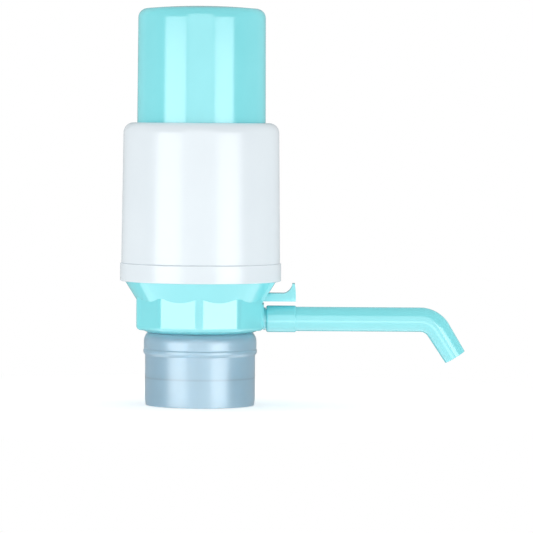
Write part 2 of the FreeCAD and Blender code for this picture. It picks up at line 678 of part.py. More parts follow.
def suction_connector():
    """The spigot under the base that the suction hose pushes onto, with its barbs."""
    body = new_body("suction_connector")
    top = f"{FLOOR} - washer_thickness"
    foot = f"{top} - connector_flange - barb_count * barb_pitch"
    corners = [("connector_bore", foot)]
    for number in range(int(value("barb_count"))):
        low = f"{foot} + {number} * barb_pitch"
        corners += [
            ("barb_radius - barb_depth", low),
            ("barb_radius", f"{low} + barb_slope"),
            ("barb_radius", f"{low} + barb_slope + barb_crest"),
            ("barb_radius - barb_depth", f"{low} + barb_slope + barb_crest"),
        ]
    plug = "riser_bore - clip_gap"
    corners += [
        ("barb_radius - barb_depth", f"{top} - connector_flange"),
        ("connector_flange_radius", f"{top} - connector_flange"),
        ("connector_flange_radius", top),
        (plug, top),
        (plug, f"{FLOOR_TOP} + riser_wall"),
        ("connector_bore", f"{FLOOR_TOP} + riser_wall"),
    ]
    turned(body, "Spigot", corners, x="riser_x")
    return body


def valve_ports(body, x, under):
    """The stem hole and the ring of air ports that an umbrella valve covers."""
    sketch = new_sketch(body, "PortCircles", "XY", x=x, off=under)
    add_circle(sketch, "0", "0", "valve_stem + stem_gap")
    count = int(value("port_count"))
    for number in range(count):
        angle = f"{360 * number} / port_count"
        add_circle(sketch, f"port_ring * cos({angle})", f"port_ring * sin({angle})", "port_radius")
    extruded(body, "Ports", sketch, "valve_plate", cut=True)


def valve_deck():
    """The plate between the bellows and the base, with the spigot that blows into the air duct."""
    body = new_body("valve_deck")
    plate = [("0", DECK_UNDER), (DECK_RADIUS, DECK_UNDER), (DECK_RADIUS, DECK_TOP), ("0", DECK_TOP)]
    turned(body, "Plate", plate)
    column(body, "Spigot", "duct_x", VALVE_PLATE_UNDER, DECK_UNDER, [SPIGOT_RADIUS])
    plate_top = f"({VALVE_PLATE_UNDER} + valve_plate)"
    column(body, "SpigotBore", "duct_x", plate_top, DECK_TOP, [SPIGOT_BORE], cut=True)
    seat = f"({DECK_TOP} + seat_ring)"
    column(body, "SpringSeat", "0", DECK_TOP, seat, [SPRING_SEAT, f"{SPRING_SEAT} - seat_ring_wall"])
    pip = f"({DECK_UNDER} - pip_height)"
    column(body, "SpringPip", "vent_x", pip, DECK_UNDER, ["pip_radius"])
    valve_ports(body, "duct_x", VALVE_PLATE_UNDER)
    return body


def umbrella_valve(name, x, under):
    """A silicone umbrella valve: it hangs under its plate by a barbed stem and opens downwards."""
    body = new_body(name)
    barb = "valve_stem + stem_barb"
    top = f"{under} + valve_plate"
    corners = [
        ("0", f"{under} - valve_crown"),
        ("valve_radius", f"{under} - valve_edge"),
        ("valve_radius", under),
        ("valve_stem", under),
        ("valve_stem", top),
        (barb, top),
        ("valve_stem / 2", f"{top} + stem_tip"),
        ("0", f"{top} + stem_tip"),
    ]
    turned(body, "Umbrella", corners, x=x)
    return body


def bellows():
    """The folded air bellows, clamped by its flange and closed by the intake seat."""
    body = new_body("bellows")
    top = f"({SEAT_UNDER} - soft_gap)"
    cuff = f"({top} - bellows_cuff)"
    pitch = f"({cuff} - {FLANGE_TOP}) / fold_count"
    folds = int(value("fold_count"))
    outside, inside = [], []
    for number in range(folds):
        crest = f"{FLANGE_TOP} + {pitch} * {number + 0.5}"
        outside.append(("bellows_radius", crest))
        inside.append(("bellows_radius - bellows_wall", crest))
        if number < folds - 1:
            root = f"{FLANGE_TOP} + {pitch} * {number + 1}"
            outside.append(("bellows_root", root))
            inside.append(("bellows_root - bellows_wall", root))
    corners = [("bellows_root - bellows_wall", DECK_TOP), (DECK_RADIUS, DECK_TOP)]
    corners += [(DECK_RADIUS, FLANGE_TOP), ("bellows_root", FLANGE_TOP)]
    corners += outside
    corners += [("bellows_root", cuff), ("bellows_radius", cuff), ("bellows_radius", top)]
    corners += [("bellows_root - bellows_wall", top), ("bellows_root - bellows_wall", cuff)]
    corners += reversed(inside)
    corners += [("bellows_root - bellows_wall", FLANGE_TOP)]
    turned(body, "Folds", corners)
    return body


def coil_spring(name, x, radius, wire, turns, low, high):
    """A coil spring of square wire that just fills the height from low to high."""
    body = new_body(name)
    sketch = new_sketch(body, "WireSection", "XZ", x=x, y=low)
    inner, outer = f"{radius} - {wire} / 2", f"{radius} + {wire} / 2"
    add_outline(sketch, [(inner, "0"), (outer, "0"), (outer, wire), (inner, wire)])
    coil = body.newObject("PartDesign::AdditiveHelix", "Coil")
    coil.Profile = sketch
    coil.ReferenceAxis = (sketch, ["V_Axis"])
    coil.Mode = "height-turns-angle"
    height = f"{high} - {low} - {wire}"
    coil.Height = value(height)
    coil.Turns = value(turns)
    coil.setExpression("Height", bound(height))
    coil.setExpression("Turns", bound(turns))
    settle(body, coil, 0.0)
    return body


def housing_ring():
    """The ring that clamps the bellows onto the base and carries the sleeve."""
    body = new_body("housing_ring")
    bore = "collar_radius + collar_gap"
    spigot = "sleeve_radius - sleeve_wall - housing_gap"
    spigot_top = f"{BAND_TOP} + ring_spigot_rise"
    corners = [
        (bore, BAND_BOTTOM),
        ("band_radius - band_bevel", BAND_BOTTOM),
        ("band_radius", f"{BAND_BOTTOM} + band_bevel"),
        ("band_radius", f"{BAND_TOP} - band_bevel"),
        ("band_radius - band_bevel", BAND_TOP),
        (spigot, BAND_TOP),
        (spigot, spigot_top),
        (f"{spigot} - ring_spigot_wall", spigot_top),
        (f"{spigot} - ring_spigot_wall", LIP_TOP),
        ("ring_lip_radius", LIP_TOP),
        ("ring_lip_radius", FLANGE_TOP),
        (bore, FLANGE_TOP),
    ]
    turned(body, "Band", corners)
    return body


def housing_sleeve():
    """The white sleeve that guides the press cap."""
    body = new_body("housing_sleeve")
    under = f"{SLEEVE_TOP} - sleeve_wall"
    opening = "cap_radius + cap_gap"
    corners = [
        ("sleeve_radius - sleeve_wall", BAND_TOP),
        ("sleeve_radius", BAND_TOP),
        ("sleeve_top_radius", SLEEVE_TOP, "sleeve_shoulder"),
        (opening, SLEEVE_TOP),
        (opening, under),
        ("sleeve_top_radius - sleeve_shoulder", under),
        ("sleeve_top_radius - sleeve_wall", f"{SLEEVE_TOP} - sleeve_shoulder"),
    ]
    turned(body, "Wall", corners)
    return body


def press_cap():
    """The cap that the hand presses, with its stop flange and the ribs over the intake seat."""
    body = new_body("press_cap")
    stop = f"({SLEEVE_TOP} - sleeve_wall - stop_gap)"
    foot = f"{SLEEVE_TOP} - cap_skirt"
    corners = [
        ("0", CROWN_FOOT),
        ("cap_top_radius", CROWN_FOOT, "cap_edge_round"),
        ("cap_radius", SLEEVE_TOP),
        ("cap_radius", stop),
        (STOP_EDGE, stop),
        ("stop_radius", f"{stop} - (stop_radius - {STOP_EDGE})"),
        ("stop_radius", f"{stop} - stop_thickness"),
        ("cap_radius", f"{stop} - stop_thickness"),
        ("cap_radius", foot),
        ("cap_radius - cap_wall", foot),
        ("cap_radius - cap_wall", SLEEVE_TOP),
        ("cap_top_radius - cap_wall", CAP_CEILING),
        ("0", CAP_CEILING),
    ]
    turned(body, "Wall", corners)
    crown(body)
    rib_end = "cap_top_radius - cap_wall / 2"
    rib = [("rib_start", SEAT_TOP), (rib_end, SEAT_TOP), (rib_end, CAP_CEILING), ("rib_start", CAP_CEILING)]
    first = slab(body, "Rib", rib, "rib_width")
    around(body, "Ribs", first, "rib_count")
    return body


def crown(body):
    """The slightly domed top: an arc from the crown's edge over its middle, spun about the axis."""
    before = volume(body)
    sketch = new_sketch(body, "CrownOutline", "XZ", y=CROWN_FOOT)
    reach, rise = value("crown_radius"), value("cap_dome")
    radius = (reach ** 2 + rise ** 2) / (2 * rise)
    dome = arc_between(vector(0, rise - radius), radius, vector(reach, 0), vector(0, rise))
    arc = sketch.addGeometry(dome, False)
    foot = sketch.addGeometry(Part.LineSegment(vector(0, 0), vector(reach, 0)), False)
    axis = sketch.addGeometry(Part.LineSegment(vector(0, rise), vector(0, 0)), False)
    hold_point(sketch, foot, 1, "0", "0")
    hold_point(sketch, foot, 2, "crown_radius", "0")
    hold_point(sketch, axis, 1, "0", "cap_dome")
    sketch.addConstraint(Sketcher.Constraint("Coincident", axis, 2, foot, 1))
    outer = 1 if sketch.getPoint(arc, 1).x > reach / 2 else 2
    sketch.addConstraint(Sketcher.Constraint("Coincident", arc, outer, foot, 2))
    sketch.addConstraint(Sketcher.Constraint("Coincident", arc, 3 - outer, axis, 1))
    sketch.addConstraint(Sketcher.Constraint("PointOnObject", arc, 3, -2))
    feature = body.newObject("PartDesign::Revolution", "Crown")
    feature.Profile = sketch
    feature.ReferenceAxis = (sketch, ["V_Axis"])
    feature.Angle = 360
    settle(body, feature, before)


def intake_seat():
    """The plate that closes the bellows under the cap and carries the intake valve."""
    body = new_body("intake_seat")
    edge = "bellows_radius"
    turned(body, "Plate", [("0", SEAT_UNDER), (edge, SEAT_UNDER), (edge, SEAT_TOP), ("0", SEAT_TOP)])
    low = f"({SEAT_UNDER} - seat_ring)"
    column(body, "SpringSeat", "0", low, SEAT_UNDER, [SPRING_SEAT, f"{SPRING_SEAT} - seat_ring_wall"])
    valve_ports(body, "0", SEAT_UNDER)
    return body


def spout_tube():
    """The swivelling spout: a socket over the nipple, a straight tube, a bend and a tapering nozzle."""
    body = new_body("spout_tube")
    bore = "nipple_radius + swivel_gap"
    tube_bore = "tube_radius - tube_wall"
    depth = f"{BOSS_FACE} + nipple_length + socket_gap"
    straight = [
        (SOCKET_START, bore),
        (SOCKET_START, "socket_radius"),
        (SOCKET_END, "socket_radius"),
        (SOCKET_END, "tube_radius"),
        (BEND_START, "tube_radius"),
        (BEND_START, tube_bore),
        (depth, tube_bore),
        (depth, bore),
    ]
    turned(body, "Straight", straight, y=SPOUT_AXIS, axis="H_Axis")
    before = volume(body)
    section = new_sketch(body, "BendSection", "YZ", y=f"{SPOUT_AXIS} - bend_radius", off=BEND_START)
    add_circle(section, "0", "bend_radius", "tube_radius")
    add_circle(section, "0", "bend_radius", tube_bore)
    bend = body.newObject("PartDesign::Revolution", "Bend")
    bend.Profile = section
    bend.ReferenceAxis = (section, ["H_Axis"])
    bend.Angle = value("bend_angle")
    bend.setExpression("Angle", bound("bend_angle"))
    settle(body, bend, before)
    nozzle_bore = "nozzle_radius - tube_wall"
    nozzle = [
        ("0", tube_bore),
        ("0", "tube_radius"),
        ("nozzle_length", "nozzle_radius"),
        ("nozzle_length", nozzle_bore),
    ]
    end_x = f"{BEND_START} + bend_radius * sin(bend_angle)"
    end_z = f"{SPOUT_AXIS} - bend_radius * (1 - cos(bend_angle))"
    turned(body, "Nozzle", nozzle, x=end_x, y=end_z, turn="-bend_angle", axis="H_Axis")
    return body


def outlet_seals():
    """The square-cut rings that seal the spout on its nipple."""
    body = new_body("outlet_seals")
    sketch = new_sketch(body, "Sections", "XZ", y=SPOUT_AXIS)
    for place in seal_places():
        low, high = f"{place} - seal_side / 2", f"{place} + seal_side / 2"
        add_outline(sketch, [(low, SEAL_FLOOR), (high, SEAL_FLOOR), (high, SEAL_TOP), (low, SEAL_TOP)])
    feature = body.newObject("PartDesign::Revolution", "Rings")
    feature.AllowMultiFace = True
    feature.Profile = sketch
    feature.ReferenceAxis = (sketch, ["H_Axis"])
    feature.Angle = 360
    settle(body, feature, 0.0)
    return body


def lever_pin():
    """The vent lever's pin, held in both sides of the hood."""
    body = new_body("lever_pin")
    sketch = new_sketch(body, "PinCircle", "XZ", x="pivot_x", y=PIVOT)
    add_circle(sketch, "0", "0", "pin_radius")
    extruded(body, "Pin", sketch, "pin_length", both=True)
    return body


def vent_lever():
    """The rocker: a hollowed thumb tab outside, a pivot, and an arm over the vent chimney."""
    body = new_body("vent_lever")
    low, high = "-tab_thickness / 2", "tab_thickness / 2"
    tip_top = "tab_thickness / 2 + tab_tip_rise"
    root = "-tab_root"
    tab = [
        (root, low),
        ("tab_length", low),
        ("tab_length", tip_top),
        ("tab_length - tab_tip", tip_top),
        ("tab_length - tab_tip", high, "tab_curve"),
        (root, high),
    ]
    slab(body, "Tab", tab, "tab_width", x="pivot_x", z=PIVOT)
    end = "vent_x - arm_width / 2"
    arm = [(end, ARM_UNDER), ("pivot_x", ARM_UNDER), ("pivot_x", ARM_TOP), (end, ARM_TOP)]
    slab(body, "Arm", arm, "arm_width")
    column(body, "SpringPip", "vent_x", ARM_TOP, f"({ARM_TOP} + pip_height)", ["pip_radius"])
    sketch = new_sketch(body, "PinHoleCircle", "XZ", x="pivot_x", y=PIVOT)
    add_circle(sketch, "0", "0", "pin_radius + pin_gap")
    extruded(body, "PinHole", sketch, "tab_width", cut=True, both=True)
    return body


def vent_seal():
    """The soft disc under the arm's end that closes the vent chimney."""
    body = new_body("vent_seal")
    column(body, "Disc", "vent_x", f"({VENT_TOP} + soft_gap)", ARM_UNDER, ["vent_bore + vent_wall"])
    return body


pieces = [
    neck_adapter(),
    ring("neck_gasket", "0", "gasket_inner_radius", "neck_tube_radius - neck_rim_lip",
         "neck_bore_depth", GASKET_TOP),
    base_body(),
    suction_connector(),
    ring("connector_washer", "riser_x", "riser_bore", "connector_flange_radius",
         f"{FLOOR} - washer_thickness", FLOOR),
    valve_deck(),
    umbrella_valve("delivery_valve", "duct_x", VALVE_PLATE_UNDER),
    ring("duct_seal", "duct_x", "duct_bore", "duct_bore + duct_wall", SOCKET_TOP, DECK_UNDER),
    bellows(),
    coil_spring("return_spring", "0", "spring_radius", "spring_wire", "spring_turns",
                DECK_TOP, f"({SEAT_UNDER} - soft_gap)"),
    housing_ring(),
    housing_sleeve(),
    outlet_seals(),
    lever_pin(),
    coil_spring("vent_spring", "vent_x", "vent_spring_radius", "vent_wire", "vent_turns",
                f"({ARM_TOP} + soft_gap)", DECK_UNDER),
    press_cap(),
    intake_seat(),
    umbrella_valve("intake_valve", "0", SEAT_UNDER),
    spout_tube(),
    vent_lever(),
    vent_seal(),
]

doc.recompute()
for item in doc.Objects:
    if "Invalid" in item.State or "Error" in item.State:
        raise RuntimeError(f"{item.Label} did not compute")
for piece in pieces:
    if piece.Shape.isNull() or not piece.Shape.isValid():
        raise RuntimeError(f"{piece.Label} has no valid shape")

os.makedirs("parts", exist_ok=True)
for piece in pieces:
    piece.Shape.exportStep(f"parts/{piece.Label}.step")
    print(f"{piece.Label}: {len(piece.Shape.Solids)} solid(s), {piece.Shape.Volume:.1f} mm3")
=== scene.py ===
import bmesh
import bpy
from math import atan2, cos, pi, radians, sin, tan
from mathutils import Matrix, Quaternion, Vector


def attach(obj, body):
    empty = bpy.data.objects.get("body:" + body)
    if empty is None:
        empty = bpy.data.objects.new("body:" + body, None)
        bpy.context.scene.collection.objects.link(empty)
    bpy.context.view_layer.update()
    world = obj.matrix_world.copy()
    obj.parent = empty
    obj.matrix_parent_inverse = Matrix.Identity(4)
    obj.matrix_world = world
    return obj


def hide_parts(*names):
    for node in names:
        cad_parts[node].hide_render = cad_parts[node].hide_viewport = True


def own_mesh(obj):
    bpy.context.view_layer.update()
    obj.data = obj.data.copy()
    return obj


# Hand pump for a drinking-water jug. Sizes in the dictionaries are millimetres, the scene is metres.
# Origin: middle of the neck adapter's lower rim, Z up, X towards the spout.

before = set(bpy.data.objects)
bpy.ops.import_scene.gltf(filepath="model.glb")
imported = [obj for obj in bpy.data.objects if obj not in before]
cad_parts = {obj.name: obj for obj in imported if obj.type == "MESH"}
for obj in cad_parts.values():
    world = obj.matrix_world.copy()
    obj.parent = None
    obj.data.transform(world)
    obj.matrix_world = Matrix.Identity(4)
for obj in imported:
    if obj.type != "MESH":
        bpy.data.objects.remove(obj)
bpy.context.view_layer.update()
mm = 0.001
print("frame loaded:", len(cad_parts), "pieces")


# helpers for meshes

def at(x, y, z):
    return Vector((x, y, z)) * mm


def pickOnly(*objects):  # nothing else stays selected
    if bpy.context.object and bpy.context.object.mode != "OBJECT":
        bpy.ops.object.mode_set(mode="OBJECT")
    bpy.ops.object.select_all(action="DESELECT")
    for obj in objects:
        obj.select_set(True)
        bpy.context.view_layer.objects.active = obj


def placed(name):  # the primitive just added: named, with its place in the mesh
    obj = bpy.context.object
    obj.name = name
    obj.data.name = name
    bpy.ops.object.transform_apply(location=True, rotation=True, scale=True)
    return obj


def openEdit(obj):
    pickOnly(obj)
    bpy.ops.object.mode_set(mode="EDIT")
    bpy.ops.mesh.select_mode(type="VERT")
    bpy.ops.mesh.select_all(action="SELECT")


def closeEdit():
    bpy.ops.object.mode_set(mode="OBJECT")


def pickEdges(obj, test):  # edit mode: selects the edges whose middle and run along X, Y, Z pass the test
    mesh = bmesh.from_edit_mesh(obj.data)
    bpy.ops.mesh.select_all(action="DESELECT")
    bpy.ops.mesh.select_mode(type="EDGE")
    for edge in mesh.edges:
        one, two = (v.co / mm for v in edge.verts)
        edge.select = test((one + two) / 2, Vector(map(abs, one - two)))
    bmesh.update_edit_mesh(obj.data)


def pickFaces(obj, test):
    mesh = bmesh.from_edit_mesh(obj.data)
    bpy.ops.mesh.select_all(action="DESELECT")
    bpy.ops.mesh.select_mode(type="FACE")
    for face in mesh.faces:
        face.select = test(face.calc_center_median() / mm, face.normal)
    bmesh.update_edit_mesh(obj.data)


mergeDistance = 0.004


def tidyMesh(obj, angle=30, holes=0):
    # doubles merged, holes of up to so many edges closed, faces turned outwards, smooth up to the angle
    openEdit(obj)
    bpy.ops.mesh.remove_doubles(threshold=mergeDistance * mm)
    if holes:
        bpy.ops.mesh.fill_holes(sides=holes)
    bpy.ops.mesh.normals_make_consistent(inside=False)
    closeEdit()
    bpy.ops.object.shade_smooth_by_angle(angle=radians(angle))
    return obj


def softened(corners, steps=6):
    # an outline whose corners with a third number are rounded by that radius; a point close before and
    # after each arc keeps the walls beside it flat in the shading
    outline = []
    for i, corner in enumerate(corners):
        spot = Vector(corner[:2])
        if len(corner) < 3:
            outline.append(tuple(spot))
            continue
        back = (Vector(corners[i - 1][:2]) - spot).normalized()
        ahead = (Vector(corners[(i + 1) % len(corners)][:2]) - spot).normalized()
        half = back.angle(ahead) / 2
        centre = spot + (back + ahead).normalized() * (corner[2] / sin(half))
        first = spot + back * (corner[2] / tan(half)) - centre
        last = spot + ahead * (corner[2] / tan(half)) - centre
        guard = min(corner[2] / 4, 0.3)
        start = atan2(first.y, first.x)
        sweep = (atan2(last.y, last.x) - start + pi) % (2 * pi) - pi
        outline.append(tuple(centre + first + back * guard))
        for step in range(steps + 1):
            angle = start + sweep * step / steps
            outline.append((centre.x + corner[2] * cos(angle), centre.y + corner[2] * sin(angle)))
        outline.append(tuple(centre + last + ahead * guard))
    return outline


pole = 0.001  # radius of a ring that closes to a point


def stepRing(move, centre, growth):  # extrudes the selected ring, moves it and sizes it about its centre
    bpy.ops.mesh.extrude_region_move(TRANSFORM_OT_translate={"value": move})
    bpy.ops.transform.resize(value=(growth, growth, growth), center_override=centre)


def turnShape(name, outline, sides=128, height=0.0, lying=False, closed=True):
    # rings stepped along an outline of (radius, level); a lying shape has its axis along X, at height
    def centre(level):
        return at(level, 0, height) if lying else at(0, 0, level)

    radius, level = outline[0]
    pickOnly()
    bpy.ops.mesh.primitive_circle_add(vertices=sides, radius=radius * mm, location=centre(level),
                                      rotation=(0, pi / 2, 0) if lying else (0, 0, 0))
    obj = placed(name)
    openEdit(obj)
    for nextRadius, nextLevel in outline[1:] + (outline[:1] if closed else []):
        stepRing(centre(nextLevel) - centre(level), centre(nextLevel), nextRadius / radius)
        radius, level = nextRadius, nextLevel
    closeEdit()
    return obj


def block(name, low, high):
    middle = (at(*low) + at(*high)) / 2
    pickOnly()
    bpy.ops.mesh.primitive_cube_add(size=1, location=middle, scale=at(*high) - at(*low))
    return placed(name)


def rod(name, radius, low, high, x=0.0, sides=64):  # upright
    pickOnly()
    bpy.ops.mesh.primitive_cylinder_add(vertices=sides, radius=radius * mm, depth=(high - low) * mm,
                                        location=at(x, 0, (low + high) / 2))
    return placed(name)


def crossRod(name, radius, length, x, height, sides=32):  # across the pump, along Y
    pickOnly()
    bpy.ops.mesh.primitive_cylinder_add(vertices=sides, radius=radius * mm, depth=length * mm,
                                        location=at(x, 0, height), rotation=(pi / 2, 0, 0))
    return placed(name)


def applyModifier(obj, kind, **settings):
    modifier = obj.modifiers.new(kind.title(), kind)
    for key, setting in settings.items():
        setattr(modifier, key, setting)
    pickOnly(obj)
    bpy.ops.object.modifier_apply(modifier=modifier.name)
    return obj


def merged(obj, other, operation):  # boolean with another piece, which is used up
    applyModifier(obj, "BOOLEAN", object=other, operation=operation, solver="EXACT")
    bpy.data.objects.remove(other, do_unlink=True)
    return obj


# helpers for materials

def colour(code):  # sRGB hex to linear
    parts = [int(code[i:i + 2], 16) / 255 for i in (1, 3, 5)]
    linear = [p / 12.92 if p <= 0.04045 else ((p + 0.055) / 1.055) ** 2.4 for p in parts]
    return (*linear, 1.0)


def addNode(material, kind, links=(), **settings):
    # links: (input name, socket it comes from); settings: inputs by name, or properties of the node
    tree = material.node_tree
    node = tree.nodes.new(kind)
    for key, setting in settings.items():
        if hasattr(node, key):
            setattr(node, key, setting)
        else:
            node.inputs[key.replace("_", " ")].default_value = setting
    for key, source in links:
        tree.links.new(source, node.inputs[key])
    return node


def newMaterial(name):
    material = bpy.data.materials.new(name)
    material.use_nodes = True
    material.node_tree.nodes.clear()
    return material


def finishMaterial(material, shader):
    addNode(material, "ShaderNodeOutputMaterial", [("Surface", shader.outputs[0])])
    return material


def perMetre(size):  # a noise scale whose blotches are about this many millimetres across
    return 1 / (size * mm)


peelDepth = 0.05
roughSpread = 0.03  # how far the gloss varies with the flow blotches


def mouldedPlastic(name, look):
    # thermoplastic out of a polished mould: even colour, faint flow blotches, a soft orange-peel gloss
    # flow and peel: the blotches and the orange peel in millimetres, drawn coarser than real ones to show
    material = newMaterial(name)
    place = addNode(material, "ShaderNodeTexCoord").outputs["Object"]
    flow = addNode(material, "ShaderNodeTexNoise", [("Vector", place)],
                   Scale=perMetre(look["flow"]), Detail=2.0)
    tint = addNode(material, "ShaderNodeMix", [("Factor", flow.outputs["Fac"])], data_type="RGBA")
    tint.inputs["A"].default_value = colour(look["deep"])
    tint.inputs["B"].default_value = colour(look["pale"])
    shown = tint.outputs["Result"]
    # painted shade: the colour is darkened in a soft line at the ledge's level, standing in for the ledge's
    # shade seen through the wall
    if "ledge" in look:  # a ledge behind a translucent wall shows through as a soft darker line
        level = addNode(material, "ShaderNodeSeparateXYZ", [("Vector", place)]).outputs["Z"]
        away = addNode(material, "ShaderNodeMath", [(0, level)], operation="SUBTRACT")
        away.inputs[1].default_value = look["ledge"]["level"] * mm
        away = addNode(material, "ShaderNodeMath", [(0, away.outputs[0])], operation="ABSOLUTE")
        shade = addNode(material, "ShaderNodeMapRange", [("Value", away.outputs[0])],
                        interpolation_type="SMOOTHSTEP")
        shade.inputs["From Max"].default_value = look["ledge"]["reach"] * mm
        shade.inputs["To Min"].default_value = look["ledge"]["shade"]
        paintedShade = addNode(material, "ShaderNodeVectorMath", [(0, shown), ("Scale", shade.outputs["Result"])],
                      operation="SCALE")
        shown = paintedShade.outputs["Vector"]
    peel = addNode(material, "ShaderNodeTexNoise", [("Vector", place)],
                   Scale=perMetre(look["peel"]), Detail=1.0)
    bump = addNode(material, "ShaderNodeBump", [("Height", peel.outputs["Fac"])],
                   Strength=look["peelStrength"], Distance=peelDepth * mm)
    wear = addNode(material, "ShaderNodeMapRange", [("Value", flow.outputs["Fac"])])
    wear.inputs["To Min"].default_value = look["rough"] - roughSpread
    wear.inputs["To Max"].default_value = look["rough"] + roughSpread
    shader = addNode(material, "ShaderNodeBsdfPrincipled", [
        ("Base Color", shown),
        ("Roughness", wear.outputs["Result"]),
        ("Normal", bump.outputs["Normal"]),
    ], IOR=look["ior"])
    for key, setting in look.get("more", {}).items():
        shader.inputs[key].default_value = setting
    return finishMaterial(material, shader)


# polished polypropylene: clear, bright streaks of light over a flat aqua
aquaPolypropylene = mouldedPlastic("aquaPolypropylene", {
    "deep": "#83E2E9", "pale": "#8AE8EF", "flow": 18.0, "peel": 1.6, "peelStrength": 0.12,
    "rough": 0.16, "ior": 1.49, "more": {"Specular IOR Level": 1.0},
})
# the same plastic from a duller mould: broad, soft light over a cool white
whitePolypropylene = mouldedPlastic("whitePolypropylene", {
    "deep": "#E1EAF0", "pale": "#E6EFF4", "flow": 24.0, "peel": 1.8, "peelStrength": 0.1,
    "rough": 0.25, "ior": 1.49, "more": {"Specular IOR Level": 0.57},
})
# unfilled polyethylene: a milky, bluish wall that lets light and the ledge behind it through; the ledge's shade
# is also painted into the colour as a soft darker line
clearPolyethylene = mouldedPlastic("clearPolyethylene", {
    "deep": "#B8DDF0", "pale": "#C1E4F5", "flow": 9.0, "peel": 1.2, "peelStrength": 0.12,
    "rough": 0.3, "ior": 1.51, "more": {"Transmission Weight": 0.5, "Specular IOR Level": 1.0,
                                         "Coat Weight": 0.85, "Coat IOR": 1.6, "Coat Roughness": 0.4},
    # the painted shade line: its level, half-width and how dark it is
    "ledge": {"level": 14.6, "reach": 0.9, "shade": 0.84},
})
# blow-moulded polyethylene: greyish and waxy, with next to no gloss
bellowsPolyethylene = mouldedPlastic("bellowsPolyethylene", {
    "deep": "#D8DBD4", "pale": "#E2E5DF", "flow": 8.0, "peel": 0.9, "peelStrength": 0.3,
    "rough": 0.45, "ior": 1.51,
})
# pressed silicone: pale, cloudy and matt
siliconeRubber = mouldedPlastic("siliconeRubber", {
    "deep": "#D9DDDC", "pale": "#E6E9E8", "flow": 5.0, "peel": 0.5, "peelStrength": 0.25,
    "rough": 0.5, "ior": 1.41,
})
# nitrile rubber: near black, with a dusty sheen
nitrileRubber = mouldedPlastic("nitrileRubber", {
    "deep": "#1B1C1D", "pale": "#242627", "flow": 4.0, "peel": 0.4, "peelStrength": 0.4,
    "rough": 0.55, "ior": 1.52,
})


def drawnWire(name, look):
    # stainless spring wire drawn through a die: bright steel with fine lines along the wire
    material = newMaterial(name)
    place = addNode(material, "ShaderNodeTexCoord").outputs["Object"]
    lines = addNode(material, "ShaderNodeMapping", [("Vector", place)])
    lines.inputs["Scale"].default_value = (look["stretch"], look["stretch"], 1.0)
    grain = addNode(material, "ShaderNodeTexNoise", [("Vector", lines.outputs["Vector"])],
                    Scale=perMetre(look["grain"]), Detail=3.0)
    tint = addNode(material, "ShaderNodeMix", [("Factor", grain.outputs["Fac"])], data_type="RGBA")
    tint.inputs["A"].default_value = colour(look["deep"])
    tint.inputs["B"].default_value = colour(look["pale"])
    gloss = addNode(material, "ShaderNodeMapRange", [("Value", grain.outputs["Fac"])])
    gloss.inputs["To Min"].default_value = look["smooth"]
    gloss.inputs["To Max"].default_value = look["rough"]
    bump = addNode(material, "ShaderNodeBump", [("Height", grain.outputs["Fac"])],
                   Strength=0.15, Distance=look["lineDepth"] * mm)
    shader = addNode(material, "ShaderNodeBsdfPrincipled", [
        ("Base Color", tint.outputs["Result"]),
        ("Roughness", gloss.outputs["Result"]),
        ("Normal", bump.outputs["Normal"]),
    ], Metallic=1.0)
    return finishMaterial(material, shader)


stainlessWire = drawnWire("stainlessWire", {
    "deep": "#B4B7B8", "pale": "#CDD0D1", "grain": 0.6, "stretch": 0.15, "smooth": 0.2, "rough": 0.36,
    "lineDepth": 0.02,
})


def dress(obj, material, body, slotName, *nodes):  # finish, body and CAD nodes of a piece
    obj.data.materials.clear()
    obj.data.materials.append(material)
    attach(obj, body)
    if nodes:
        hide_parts(*nodes)
    return obj


print("materials made")


# the press cap: a deep cup with a slightly domed crown, a stop flange and ribs over the intake seat
cap = {"radius": 33.7, "topRadius": 33.4, "wall": 2.0, "foot": 132.8, "mouth": 148.8, "top": 208.0,
       "dome": 1.3, "crown": 28.4, "edge": 4.9, "stopRadius": 36.8, "stopTop": 146.5, "stopFoot": 144.1,
       "stopStep": 0.8, "stopSlope": 1.6, "stopRound": 0.3, "slopeRound": 0.2, "ceilingRound": 1.6,
       "footRound": 0.4, "ribs": 6, "ribFoot": 204.4, "ribStart": 6.4, "ribHalf": 1, "ribSunk": 0.4}


def makePressCap():
    ceiling = cap["top"] - cap["wall"]
    dome = [(cap["crown"] * share, cap["top"] + cap["dome"] * (1 - share ** 2))
            for share in (1, 0.8, 0.6, 0.4, 0.2)]
    outline = softened([
        (pole, ceiling),
        (cap["topRadius"] - cap["wall"], ceiling, cap["ceilingRound"]),
        (cap["radius"] - cap["wall"], cap["mouth"]),
        (cap["radius"] - cap["wall"], cap["foot"], cap["footRound"]),
        (cap["radius"], cap["foot"], cap["footRound"]),
        (cap["radius"], cap["stopFoot"]),
        (cap["stopRadius"], cap["stopFoot"], cap["stopRound"]),
        (cap["stopRadius"], cap["stopFoot"] + cap["stopStep"], cap["slopeRound"]),
        (cap["stopRadius"] - cap["stopSlope"], cap["stopTop"], cap["slopeRound"]),
        (cap["radius"], cap["stopTop"]),
        (cap["radius"], cap["mouth"]),
        (cap["topRadius"], cap["top"], cap["edge"]),
        *dome,
        (pole, cap["top"] + cap["dome"]),
    ], steps=8)
    shell = tidyMesh(turnShape("pressCap", outline, closed=False))
    rib = block("rib", (cap["ribStart"], -cap["ribHalf"], cap["ribFoot"]),
                (cap["topRadius"] - cap["wall"] + cap["ribSunk"], cap["ribHalf"], ceiling + cap["ribSunk"]))
    ribs = [rib]
    for number in range(1, cap["ribs"]):
        copy = rib.copy()
        copy.data = rib.data.copy()
        bpy.context.collection.objects.link(copy)
        copy.rotation_euler.z = number * 2 * pi / cap["ribs"]
        ribs.append(copy)
    pickOnly(*ribs)
    bpy.ops.object.transform_apply(location=True, rotation=True, scale=True)
    pickOnly(*ribs, shell)
    bpy.ops.object.join()
    dress(shell, aquaPolypropylene, "press_cap", "aqua_pp", "press_cap")


makePressCap()
print("press cap made")

